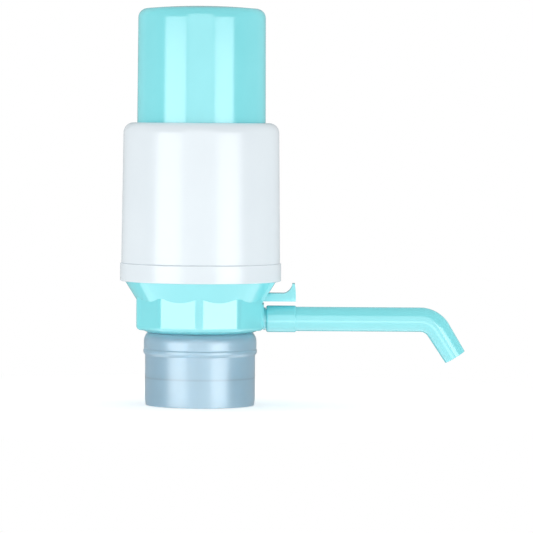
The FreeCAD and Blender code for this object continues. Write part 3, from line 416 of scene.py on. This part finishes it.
# the white housing: a sleeve with a rounded shoulder, over a band that clamps the bellows
sleeve = {"foot": 74.6, "top": 148.2, "footRadius": 41.7, "topRadius": 40.8, "wall": 2.0, "roof": 1.4,
          "shoulder": 5.3, "opening": 34.2, "lip": 0.6, "footRound": 0.35}
band = {"foot": 65.2, "top": 74.6, "radius": 42.3, "edge": 0.5, "bore": 38.6, "spigot": 39.5,
        "spigotTop": 82.0, "spigotWall": 1.4, "spigotRound": 0.3, "lipFoot": 70.6, "lipTop": 73.1,
        "lipRadius": 33.0}


def makeHousing():
    shoulder = sleeve["topRadius"] - sleeve["shoulder"]
    outline = softened([
        (sleeve["footRadius"] - sleeve["wall"], sleeve["foot"]),
        (sleeve["footRadius"], sleeve["foot"], sleeve["footRound"]),
        (sleeve["topRadius"], sleeve["top"], sleeve["shoulder"]),
        (sleeve["opening"], sleeve["top"], sleeve["lip"]),
        (sleeve["opening"], sleeve["top"] - sleeve["roof"]),
        (shoulder, sleeve["top"] - sleeve["roof"]),
        (sleeve["topRadius"] - sleeve["wall"], sleeve["top"] - sleeve["shoulder"]),
    ], steps=10)
    wall = tidyMesh(turnShape("housingSleeve", outline))
    dress(wall, whitePolypropylene, "pump_base", "white_pp", "housing_sleeve")
    inner = band["spigot"] - band["spigotWall"]
    outline = softened([
        (band["bore"], band["foot"]),
        (band["radius"], band["foot"], band["edge"]),
        (band["radius"], band["top"], band["edge"]),
        (band["spigot"], band["top"]),
        (band["spigot"], band["spigotTop"], band["spigotRound"]),
        (inner, band["spigotTop"], band["spigotRound"]),
        (inner, band["lipTop"]),
        (band["lipRadius"], band["lipTop"]),
        (band["lipRadius"], band["lipFoot"]),
        (band["bore"], band["lipFoot"]),
    ])
    hoop = tidyMesh(turnShape("housingRing", outline))
    dress(hoop, whitePolypropylene, "pump_base", "white_pp", "housing_ring")


makeHousing()
print("housing made")

# the base: ten finger flats under a flare, the lever's hood over the outlet, the lower neck
base = {"floor": 39.6, "floorTop": 42.0, "flatCount": 10, "apothem": 33.4, "ridgeRound": 8.0,
        "footRound": 2.3, "coreTop": 58.8, "flareFoot": 54.9, "flareTop": 65.2, "flare": 39.8,
        "collar": 38.4, "collarTop": 70.4, "cavity": 31.2, "deckBore": 36.0, "deckSeat": 33.2,
        "deckUnder": 66.0, "deckThick": 5.6, "panel": 32.5, "panelFoot": 53.5, "panelHalf": 20,
        "hoodBack": 30.3, "hoodHalf": 11.5, "waist": 35.3, "waistHalf": 12.9, "hoodTop": 39.0,
        "hoodTopHalf": 15.3, "axis": 45.5, "reach": 45, "over": 1}  # reach, over: cutters' spare length
leverSlot = {"back": 26.6, "front": 40.6, "half": 6.3, "low": 53.3, "high": 59.9}
seatRing = {"radius": 28.2, "foot": 38.4, "flat": 0.8, "spread": 2.6, "outerDrop": 0.1, "innerDrop": 0.3,
            "sunk": 0.5}


def makeBase():
    size = base
    turn = pi / size["flatCount"]
    core = rod("baseBody", size["apothem"] / cos(turn), size["floor"], size["coreTop"], sides=size["flatCount"])
    openEdit(core)
    pickEdges(core, lambda middle, run: run.z > 1)
    bpy.ops.mesh.bevel(offset=size["ridgeRound"] * tan(turn) * mm, segments=8, profile=0.5, affect="EDGES")
    pickEdges(core, lambda middle, run: middle.z < size["floor"] + 0.01)
    bpy.ops.mesh.bevel(offset=size["footRound"] * mm, segments=6, profile=0.5, affect="EDGES")
    closeEdit()
    panel = block("panel", (size["panel"], -size["panelHalf"], size["panelFoot"]),
                  (size["reach"], size["panelHalf"], size["coreTop"] + size["over"]))
    merged(core, panel, "DIFFERENCE")
    flare = turnShape("flare", [
        (pole, size["flareFoot"]),
        (size["apothem"], size["flareFoot"]),
        (size["flare"], size["flareTop"]),
        (size["collar"], size["flareTop"]),
        (size["collar"], size["collarTop"]),
        (pole, size["collarTop"]),
    ], sides=180, closed=False)
    tidyMesh(flare)
    merged(core, flare, "UNION")
    hood = block("hood", (size["hoodBack"], -size["hoodHalf"], size["panelFoot"]),
                 (size["panel"], size["hoodHalf"], size["panelFoot"] + 0.5))
    openEdit(hood)
    pickFaces(hood, lambda middle, normal: normal.z > 0.9)
    for level, face, half in ((size["coreTop"], size["waist"], size["waistHalf"]),
                              (size["flareTop"], size["hoodTop"], size["hoodTopHalf"])):
        bpy.ops.mesh.extrude_region_move(TRANSFORM_OT_translate={"value": (0, 0, 0)})
        mesh = bmesh.from_edit_mesh(hood.data)
        for vert in mesh.verts:
            if vert.select:
                vert.co.z = level * mm
                vert.co.y = half * mm * (1 if vert.co.y > 0 else -1)
                if vert.co.x > (size["hoodBack"] + size["over"]) * mm:  # the hood's front side
                    vert.co.x = face * mm
        bmesh.update_edit_mesh(hood.data)
    closeEdit()
    tidyMesh(hood)
    merged(core, hood, "UNION")
    slot = block("slot", (leverSlot["back"], -leverSlot["half"], leverSlot["low"]),
                 (leverSlot["front"], leverSlot["half"], leverSlot["high"]))
    merged(core, slot, "DIFFERENCE")
    cavity = turnShape("cavity", [
        (pole, size["floorTop"]),
        (size["cavity"], size["floorTop"]),
        (size["cavity"], size["flareFoot"]),
        (size["deckSeat"], size["deckUnder"] - size["deckThick"]),
        (size["deckSeat"], size["deckUnder"]),
        (size["deckBore"], size["deckUnder"]),
        (size["deckBore"], size["collarTop"] + size["over"]),
        (pole, size["collarTop"] + size["over"]),
    ], sides=96, closed=False)
    merged(core, tidyMesh(cavity), "DIFFERENCE")
    outer, inner = seatRing["radius"] + seatRing["spread"], seatRing["radius"] - seatRing["spread"]
    ring = turnShape("seatRing", [  # sits on the adapter's shoulder
        (outer, size["floor"] + seatRing["sunk"]),
        (outer, size["floor"] - seatRing["outerDrop"]),
        (seatRing["radius"], seatRing["foot"]),
        (seatRing["radius"] - seatRing["flat"], seatRing["foot"]),
        (inner, size["floor"] - seatRing["innerDrop"]),
        (inner, size["floor"] + seatRing["sunk"]),
    ], sides=180)
    merged(core, tidyMesh(ring), "UNION")
    return core


baseBody = makeBase()
lowerNeck = {"bore": 23.1, "outer": 25.7, "foot": 13.5, "seat": 15.1, "rim": 24.8, "hole": 20.6,
             "groove": 22.8, "grooveFoot": 37.5, "grooveBore": 20.6, "chamfer": 1.6, "floor": 1.8,
             "slopeTop": 2.2, "slopeFoot": 4.4, "round": 0.3, "top": 40.2}


def makeLowerNeck():
    size = lowerNeck
    tube = tidyMesh(turnShape("lowerNeck", softened([
        (size["hole"], size["seat"]),
        (size["rim"], size["seat"]),
        (size["rim"], size["foot"]),
        (size["outer"], size["foot"], size["round"]),
        (size["outer"], size["grooveFoot"] - size["chamfer"], size["round"]),
        (size["outer"] - size["chamfer"], size["grooveFoot"]),
        (size["groove"], size["grooveFoot"]),
        (size["groove"], size["top"]),
        (size["grooveBore"], size["top"]),
        (size["grooveBore"], size["grooveFoot"] - size["slopeTop"]),
        (size["bore"], size["grooveFoot"] - size["slopeFoot"]),
        (size["bore"], size["seat"] + size["floor"]),
        (size["hole"], size["seat"] + size["floor"]),
    ], steps=3)))
    merged(baseBody, tube, "UNION")


# upright ways as x, radius, foot and top; the outlet lies along X at the base's axis
ways = {
    "walls": {"duct": (-13.0, 8.0, 41.5, 64.6), "chimney": (1.0, 3.1, 41.5, 53.0),
              "riser": (14.0, 5.4, 41.5, 50.9)},
    "bores": {"ductBore": (-13.0, 6.5, 42.0, 65.0), "ductPort": (-13.0, 4.0, 39.0, 43.0),
              "vent": (1.0, 1.5, 39.0, 54.0), "riserBore": (14.0, 3.6, 39.0, 49.1)},
}
outlet = {"start": 14.0, "pipe": 4.5, "shoulder": 5.9, "shoulderFoot": 33.0, "shoulderTop": 34.4, "nipple": 5.0,
          "end": 47.2, "bore": 3.0, "boreEnd": 48.0, "grooves": (40.0, 44.0), "grooveHalf": 0.85,
          "grooveFloor": 3.65, "grooveRim": 5.5}
pinHole = {"radius": 1.0, "height": 56.4, "length": 21.0, "x": 31.6}


def makeWays():  # air duct, vent chimney, riser and the outlet nipple
    size = outlet
    for name, (x, radius, low, high) in ways["walls"].items():
        merged(baseBody, rod(name, radius, low, high, x=x), "UNION")
    pipe = tidyMesh(turnShape("pipe", [
        (pole, size["start"]),
        (size["pipe"], size["start"]),
        (size["pipe"], size["shoulderFoot"]),
        (size["shoulder"], size["shoulderFoot"]),
        (size["shoulder"], size["shoulderTop"]),
        (size["nipple"], size["shoulderTop"]),
        (size["nipple"], size["end"]),
        (pole, size["end"]),
    ], sides=64, height=base["axis"], lying=True, closed=False))
    merged(baseBody, pipe, "UNION")
    for place in size["grooves"]:
        low, high = place - size["grooveHalf"], place + size["grooveHalf"]
        groove = turnShape("groove", [(size["grooveFloor"], low), (size["grooveRim"], low),
                                      (size["grooveRim"], high), (size["grooveFloor"], high)],
                           sides=64, height=base["axis"], lying=True)
        merged(baseBody, tidyMesh(groove), "DIFFERENCE")
    for name, (x, radius, low, high) in ways["bores"].items():
        merged(baseBody, rod(name, radius, low, high, x=x), "DIFFERENCE")
    channel = turnShape("channel", [(pole, size["start"]), (size["bore"], size["start"]),
                                    (size["bore"], size["boreEnd"]), (pole, size["boreEnd"])],
                        sides=64, height=base["axis"], lying=True, closed=False)
    merged(baseBody, tidyMesh(channel), "DIFFERENCE")
    merged(baseBody, crossRod("pinHole", **pinHole), "DIFFERENCE")


makeLowerNeck()
makeWays()
tidyMesh(baseBody, holes=12)
dress(baseBody, aquaPolypropylene, "pump_base", "aqua_pp", "base_body")
print("base made:", len(baseBody.data.polygons), "faces")

# the neck adapter: a thin translucent collar with a thicker, beaded band under its rounded shoulder
adapter = {"bore": 27.7, "depth": 12.6, "rim": 28.5, "rimTop": 3.0, "wall": 28.9, "inside": 27.9,
           "band": 29.6, "bandFoot": 27.2, "bandThick": 1, "bead": 29.85, "beadFoot": 27.9,
           "beadHigh": 29.1, "beadTop": 29.7, "step": 0.9, "top": 39.6, "shoulder": 6.0, "clip": 22.9,
           "flange": 2.0, "ledge": 26.0, "ledgeTop": 13.6, "rimRound": 0.3, "stepRound": 0.25,
           "wallRound": 0.5, "beadRound": 0.5, "grooveRound": 0.2, "groove": 0.1, "grooveLength": 0.5}


def makeNeckAdapter():
    size = adapter
    outline = softened([
        (size["bore"], 0),
        (size["rim"], 0, size["rimRound"]),
        (size["wall"], size["rimTop"]),
        (size["wall"], size["bandFoot"] - size["step"], size["wallRound"]),
        (size["band"], size["bandFoot"], size["stepRound"]),
        (size["bead"], size["beadFoot"], size["beadRound"]),
        (size["bead"], size["beadHigh"], size["beadRound"]),
        (size["band"] - size["groove"], size["beadTop"], size["grooveRound"]),
        (size["band"], size["beadTop"] + size["grooveLength"]),
        (size["band"], size["top"], size["shoulder"]),
        (size["clip"], size["top"]),
        (size["clip"], size["top"] - size["flange"]),
        (size["band"] - size["bandThick"], size["top"] - size["flange"], size["shoulder"] - size["bandThick"]),
        (size["band"] - size["bandThick"], size["bandFoot"]),
        (size["inside"], size["bandFoot"] - size["step"]),
        (size["inside"], size["ledgeTop"]),
        (size["ledge"], size["ledgeTop"]),
        (size["ledge"], size["depth"]),
        (size["bore"], size["depth"]),
    ], steps=8)
    collar = tidyMesh(turnShape("neckAdapter", outline))
    dress(collar, clearPolyethylene, "pump_base", "clear_ldpe", "neck_adapter")


makeNeckAdapter()
print("neck adapter made")

# the spout: socket, straight tube, bend and tapering nozzle, hollow all the way
spout = {"axis": 45.5, "start": 34.6, "socketEnd": 50.2, "socket": 7.0, "tube": 6.4, "bore": 4.7,
         "socketBore": 5.05, "depth": 48.1, "bendStart": 115.6, "bend": 11.2, "angle": 57.9, "nozzle": 16.9,
         "mouth": 5.95, "boreRound": 0.3, "socketRound": 0.9, "stepRound": 0.55, "lipRound": 0.35,
         "bendSteps": 16}


def makeSpout():
    size = spout
    angle = radians(size["angle"])
    straight = softened([
        (size["socketBore"], size["depth"]),
        (size["socketBore"], size["start"], size["boreRound"]),
        (size["socket"], size["start"], size["socketRound"]),
        (size["socket"], size["socketEnd"], size["stepRound"]),
        (size["tube"], size["socketEnd"]),
        (size["tube"], size["bendStart"] - 1),
        (size["tube"], size["bendStart"]),
    ], steps=4)
    tube = turnShape("spoutTube", straight, sides=80, height=size["axis"], lying=True, closed=False)
    centre = at(size["bendStart"], 0, size["axis"] - size["bend"])
    ahead = Vector((cos(angle), 0, -sin(angle)))
    bendEnd = centre + Vector((sin(angle), 0, cos(angle))) * size["bend"] * mm
    openEdit(tube)
    pickEdges(tube, lambda middle, run: middle.x > size["bendStart"] - 0.01)
    bpy.ops.mesh.spin(steps=size["bendSteps"], angle=-angle, center=centre, axis=(0, 1, 0))
    lip = softened([
        (size["tube"], 0),
        (size["mouth"], size["nozzle"], size["lipRound"]),
        (size["mouth"] - size["tube"] + size["bore"], size["nozzle"], size["lipRound"]),
        (size["bore"], 0),
    ], steps=4)
    radius, level = lip[0]
    for nextRadius, nextLevel in lip[1:]:
        stepRing(ahead * (nextLevel - level) * mm, bendEnd + ahead * nextLevel * mm, nextRadius / radius)
        radius, level = nextRadius, nextLevel
    bpy.ops.mesh.spin(steps=size["bendSteps"], angle=angle, center=centre, axis=(0, 1, 0))
    back = at(size["depth"] - size["bendStart"], 0, 0)
    stepRing(back, at(size["depth"], 0, size["axis"]), 1)
    stepRing((0, 0, 0), at(size["depth"], 0, size["axis"]), size["socketBore"] / size["bore"])
    closeEdit()
    dress(tidyMesh(tube), aquaPolypropylene, "spout", "aqua_pp", "spout_tube")


makeSpout()
print("spout made")

# the vent lever: a thumb tab that curves up at its end, pinned at its root, with an arm over the vent
lever = {"pivot": 31.6, "height": 56.4, "length": 18.5, "half": 6.0, "thick": 4.2, "lift": 0.55,
         "tipRise": 5.1, "tip": 1.4, "curve": 4.9, "root": 4.0, "lean": 0.5, "armEnd": -3.0, "armHalf": 4.0,
         "armFoot": 54.5, "armTop": 57.5, "vent": 1.0, "pip": 1.9, "pipFoot": 57.0, "pipTop": 58.9,
         "pinBore": 1.05, "pinLength": 14.0, "edge": 0.4}


def makeVentLever():
    size = lever
    low = size["height"] - size["thick"] / 2 + size["lift"]
    high = low + size["thick"]
    start, end = size["pivot"] - size["root"], size["pivot"] + size["length"]
    tab = block("ventLever", (start, -size["half"], low), (end, size["half"], high))
    openEdit(tab)
    bpy.ops.mesh.bisect(plane_co=at(end - size["tip"], 0, 0), plane_no=(1, 0, 0))
    pickFaces(tab, lambda middle, normal: normal.z > 0.9 and middle.x > end - size["tip"])
    bpy.ops.mesh.extrude_region_move(TRANSFORM_OT_translate={"value": (0, 0, size["tipRise"] * mm)})
    bpy.ops.transform.translate(value=(-size["lean"] * mm, 0, 0))
    pickEdges(tab, lambda middle, run: (abs(middle.x - (end - size["tip"])) < 0.01
                                        and abs(middle.z - high) < 0.01))
    bpy.ops.mesh.bevel(offset=size["curve"] * mm, segments=10, profile=0.43, affect="EDGES")
    closeEdit()
    applyModifier(tab, "BEVEL", width=size["edge"] * mm, segments=3, limit_method="ANGLE",
                  angle_limit=radians(40))
    arm = block("arm", (size["armEnd"], -size["armHalf"], size["armFoot"]),
                (size["pivot"], size["armHalf"], size["armTop"]))
    merged(tab, arm, "UNION")
    merged(tab, rod("pip", size["pip"], size["pipFoot"], size["pipTop"], x=size["vent"], sides=32), "UNION")
    bore = crossRod("pinBore", size["pinBore"], size["pinLength"], size["pivot"], size["height"])
    merged(tab, bore, "DIFFERENCE")
    dress(tidyMesh(tab), aquaPolypropylene, "vent_lever", "aqua_pp", "vent_lever")


makeVentLever()
print("vent lever made")

# the bellows: eight blow-moulded folds between a clamped flange and a cuff
bellows = {"outer": 30.6, "root": 25.6, "wall": 0.9, "folds": 8, "foot": 69.0, "flangeTop": 70.6,
           "flange": 35.8, "cuff": 201.5, "top": 202.7, "outerRound": 1.3, "rootRound": 1.0}


def makeBellows():
    size = bellows
    pitch = (size["cuff"] - size["flangeTop"]) / size["folds"]
    outside, inside = [], []
    for number in range(size["folds"]):
        crest = size["flangeTop"] + pitch * (number + 0.5)
        outside.append((size["outer"], crest, size["outerRound"]))
        inside.append((size["outer"] - size["wall"], crest, size["rootRound"]))
        if number < size["folds"] - 1:
            outside.append((size["root"], crest + pitch / 2, size["rootRound"]))
            inside.append((size["root"] - size["wall"], crest + pitch / 2, size["outerRound"]))
    bore = size["root"] - size["wall"]
    outline = [(bore, size["foot"]), (size["flange"], size["foot"]), (size["flange"], size["flangeTop"]),
               (size["root"], size["flangeTop"]), *outside, (size["root"], size["cuff"]),
               (size["outer"], size["cuff"]), (size["outer"], size["top"]), (bore, size["top"]),
               (bore, size["cuff"]),
               *reversed(inside), (bore, size["flangeTop"])]
    folds = tidyMesh(turnShape("bellowsFolds", softened(outline, steps=4), sides=96), 45)
    dress(folds, bellowsPolyethylene, "pump_base", "bellows_pe", "bellows")
    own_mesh(folds)


coilSteps, wireSides = 48, 12  # a turn of the coil, round the wire


def makeSpring(name, look, node):
    pitch = (look["top"] - look["foot"] - look["wire"]) / look["turns"]
    pickOnly()
    bpy.ops.mesh.primitive_circle_add(vertices=wireSides, radius=look["wire"] / 2 * mm, rotation=(pi / 2, 0, 0),
                                      location=at(look["radius"], 0, look["foot"] + look["wire"] / 2))
    coil = placed(name)
    applyModifier(coil, "SCREW", angle=2 * pi, screw_offset=pitch * mm, iterations=look["turns"],
                  steps=coilSteps, render_steps=coilSteps, use_merge_vertices=False)
    openEdit(coil)
    bpy.ops.transform.translate(value=at(look["x"], 0, 0))
    bpy.ops.mesh.fill_holes(sides=0)
    closeEdit()
    return dress(tidyMesh(coil, 50), stainlessWire, look["body"], "spring_steel", node)


makeBellows()
returnSpring = {"radius": 20.5, "wire": 1.6, "turns": 7, "foot": 69.0, "top": 202.7, "x": 0.0,
                "body": "pump_base"}
spring = makeSpring("returnSpring", returnSpring, "return_spring")
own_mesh(spring)
ventSpring = {"radius": 2.7, "wire": 0.6, "turns": 3, "foot": 57.6, "top": 66.0, "x": 1.0,
              "body": "pump_base"}
spring = makeSpring("ventSpring", ventSpring, "vent_spring")
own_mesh(spring)
print("bellows and springs made")

# pieces that keep the frame's own meshes
finishes = {
    "valve_deck": whitePolypropylene,
    "intake_seat": whitePolypropylene,
    "suction_connector": whitePolypropylene,
    "lever_pin": stainlessWire,
    "neck_gasket": siliconeRubber,
    "connector_washer": siliconeRubber,
    "delivery_valve": siliconeRubber,
    "intake_valve": siliconeRubber,
    "duct_seal": siliconeRubber,
    "vent_seal": siliconeRubber,
    "outlet_seals": nitrileRubber,
}
for node, finish in finishes.items():
    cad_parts[node].data.materials.clear()
    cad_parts[node].data.materials.append(finish)
print("hidden pieces dressed")

# studio: pale floor, white surroundings, tall softboxes to the left and right, and a camera
# distances here are metres
studio = {"floorRadius": 0.26, "floorDrop": 0.0001, "fadeStart": 0.06, "fadeEnd": 0.24, "glow": 0.08,
          "glowSeen": 0.32, "ambient": 0.71, "mirrored": 0.16}
# first and last bearing from the camera's side of the pump, lower and upper level, distance, brightness, and
# whether matt and whether glossy surfaces see it
panels = {
    "frontFill": (-24, 22, -0.3, 0.6, 2.3, 0.7, True, False),
    "frontSheen": (-24, 22, -1.1, 1.6, 2.2, 1.6, False, True),
    "fillLeft": (-67, -26, 0.07, 0.36, 0.84, 1.1, True, False),
    "fillRight": (23.5, 59, 0.07, 0.36, 0.84, 1.1, True, False),
    "lowFillLeft": (-67, -26, -0.25, 0.07, 0.84, 0.55, True, False),
    "lowFillRight": (23.5, 59, -0.25, 0.07, 0.84, 0.55, True, False),
    "sheenLeft": (-67, -26, 0.07, 0.235, 0.8, 3.7, False, True),
    "sheenRight": (23.5, 59, 0.07, 0.235, 0.8, 3.7, False, True),
    "lowSheenLeft": (-67, -26, -0.25, 0.07, 0.8, 4.5, False, True),
    "lowSheenRight": (23.5, 59, -0.25, 0.07, 0.8, 5.2, False, True),
    "sideLeft": (-125, -85, -0.1, 0.4, 0.9, 1.9, True, False),
    "sideRight": (85, 125, -0.1, 0.4, 0.9, 1.9, True, False),
    "backSheen": (120, 240, -1.0, 1.4, 1.0, 0.2, False, True),
}
topFill = {"size": 1.0, "z": 0.9, "brightness": 0.35}
lightTable = {"size": 1.9, "y": -0.65, "z": -0.3, "brightness": 1.9}  # seen only in glossy undersides


def raySwitch(material, start, **levels):  # a strength that changes with the kind of ray
    path = addNode(material, "ShaderNodeLightPath")
    strength = start
    for ray, level in levels.items():
        mix = addNode(material, "ShaderNodeMix", [("Factor", path.outputs[f"Is {ray} Ray"])], data_type="FLOAT")
        if isinstance(strength, float):
            mix.inputs["A"].default_value = strength
        else:
            material.node_tree.links.new(strength, mix.inputs["A"])
        mix.inputs["B"].default_value = level
        strength = mix.outputs["Result"]
    return strength


def makeFloor():
    pickOnly()
    bpy.ops.mesh.primitive_circle_add(vertices=96, radius=studio["floorRadius"], fill_type="NGON",
                                      location=(0, 0, -studio["floorDrop"]))
    floor = placed("studioFloor")
    material = newMaterial("paleTable")
    place = addNode(material, "ShaderNodeTexCoord").outputs["Object"]
    reach = addNode(material, "ShaderNodeVectorMath", [("Vector", place)], operation="LENGTH")
    fade = addNode(material, "ShaderNodeMapRange", [("Value", reach.outputs["Value"])],
                   interpolation_type="SMOOTHSTEP")
    fade.inputs["From Min"].default_value = studio["fadeStart"]
    fade.inputs["From Max"].default_value = studio["fadeEnd"]
    table = addNode(material, "ShaderNodeBsdfDiffuse", Color=colour("#F1F3F4"))
    seen = raySwitch(material, studio["glow"], Camera=studio["glowSeen"])
    glow = addNode(material, "ShaderNodeEmission", [("Strength", seen)], Color=(1, 1, 1, 1))
    near = addNode(material, "ShaderNodeAddShader", [(0, table.outputs[0]), (1, glow.outputs[0])])
    far = addNode(material, "ShaderNodeEmission", Color=(1, 1, 1, 1))
    mix = addNode(material, "ShaderNodeMixShader", [("Fac", fade.outputs["Result"]), (1, near.outputs[0]),
                                                    (2, far.outputs[0])])
    finishMaterial(material, mix)
    floor.data.materials.append(material)
    floor.visible_glossy = False


def makeWorld():
    world = bpy.data.worlds.new("softRoom")
    bpy.context.scene.world = world
    world.use_nodes = True
    world.node_tree.nodes.clear()
    strength = raySwitch(world, studio["ambient"], Glossy=studio["mirrored"], Transmission=1.0, Camera=1.0)
    light = addNode(world, "ShaderNodeBackground", [("Strength", strength)], Color=(1, 1, 1, 1))
    addNode(world, "ShaderNodeOutputWorld", [("Surface", light.outputs[0])])


def makeLamp(name, width, height, brightness, place, turn, matt, glossy):
    light = bpy.data.lights.new(name, "AREA")
    light.shape = "RECTANGLE"
    light.size = width
    light.size_y = height
    light.energy = brightness * pi * width * height
    lamp = bpy.data.objects.new(name, light)
    bpy.context.collection.objects.link(lamp)
    lamp.location = place
    lamp.rotation_euler = turn
    lamp.visible_diffuse = matt
    lamp.visible_glossy = glossy


def makePanel(name, first, last, foot, top, reach, brightness, matt, glossy):
    middle = radians((first + last) / 2)
    width = 2 * reach * tan(radians(last - first) / 2)
    place = (reach * sin(middle), -reach * cos(middle), (foot + top) / 2)
    makeLamp(name, width, top - foot, brightness, place, (pi / 2, 0, middle), matt, glossy)


makeFloor()
makeWorld()
for name, panel in panels.items():
    makePanel(name, *panel)
makeLamp("topFill", topFill["size"], topFill["size"], topFill["brightness"],
         (0, 0, topFill["z"]), (0, 0, 0), True, False)
makeLamp("lightTable", lightTable["size"], lightTable["size"], lightTable["brightness"],
         (0, lightTable["y"], lightTable["z"]), (pi, 0, 0), False, True)

view = {"place": (0.0346, -2.0, 0.152), "target": (0.0346, 0.0, 0.07295), "pixels": 533,
        "perPixel": 0.000525, "roll": 0.38, "sensor": 36, "farthest": 20}
camera = bpy.data.objects.new("camera", bpy.data.cameras.new("camera"))
bpy.context.collection.objects.link(camera)
camera.data.sensor_width = view["sensor"]
camera.data.lens = view["sensor"] * -view["place"][1] / (view["pixels"] * view["perPixel"])
camera.data.clip_end = view["farthest"]
camera.location = view["place"]
aim = (Vector(view["target"]) - Vector(view["place"])).to_track_quat("-Z", "Y")
camera.rotation_euler = (aim @ Quaternion((0, 0, 1), radians(view["roll"]))).to_euler()
bpy.context.scene.camera = camera
bpy.context.scene.view_settings.view_transform = "Standard"
print("studio made")
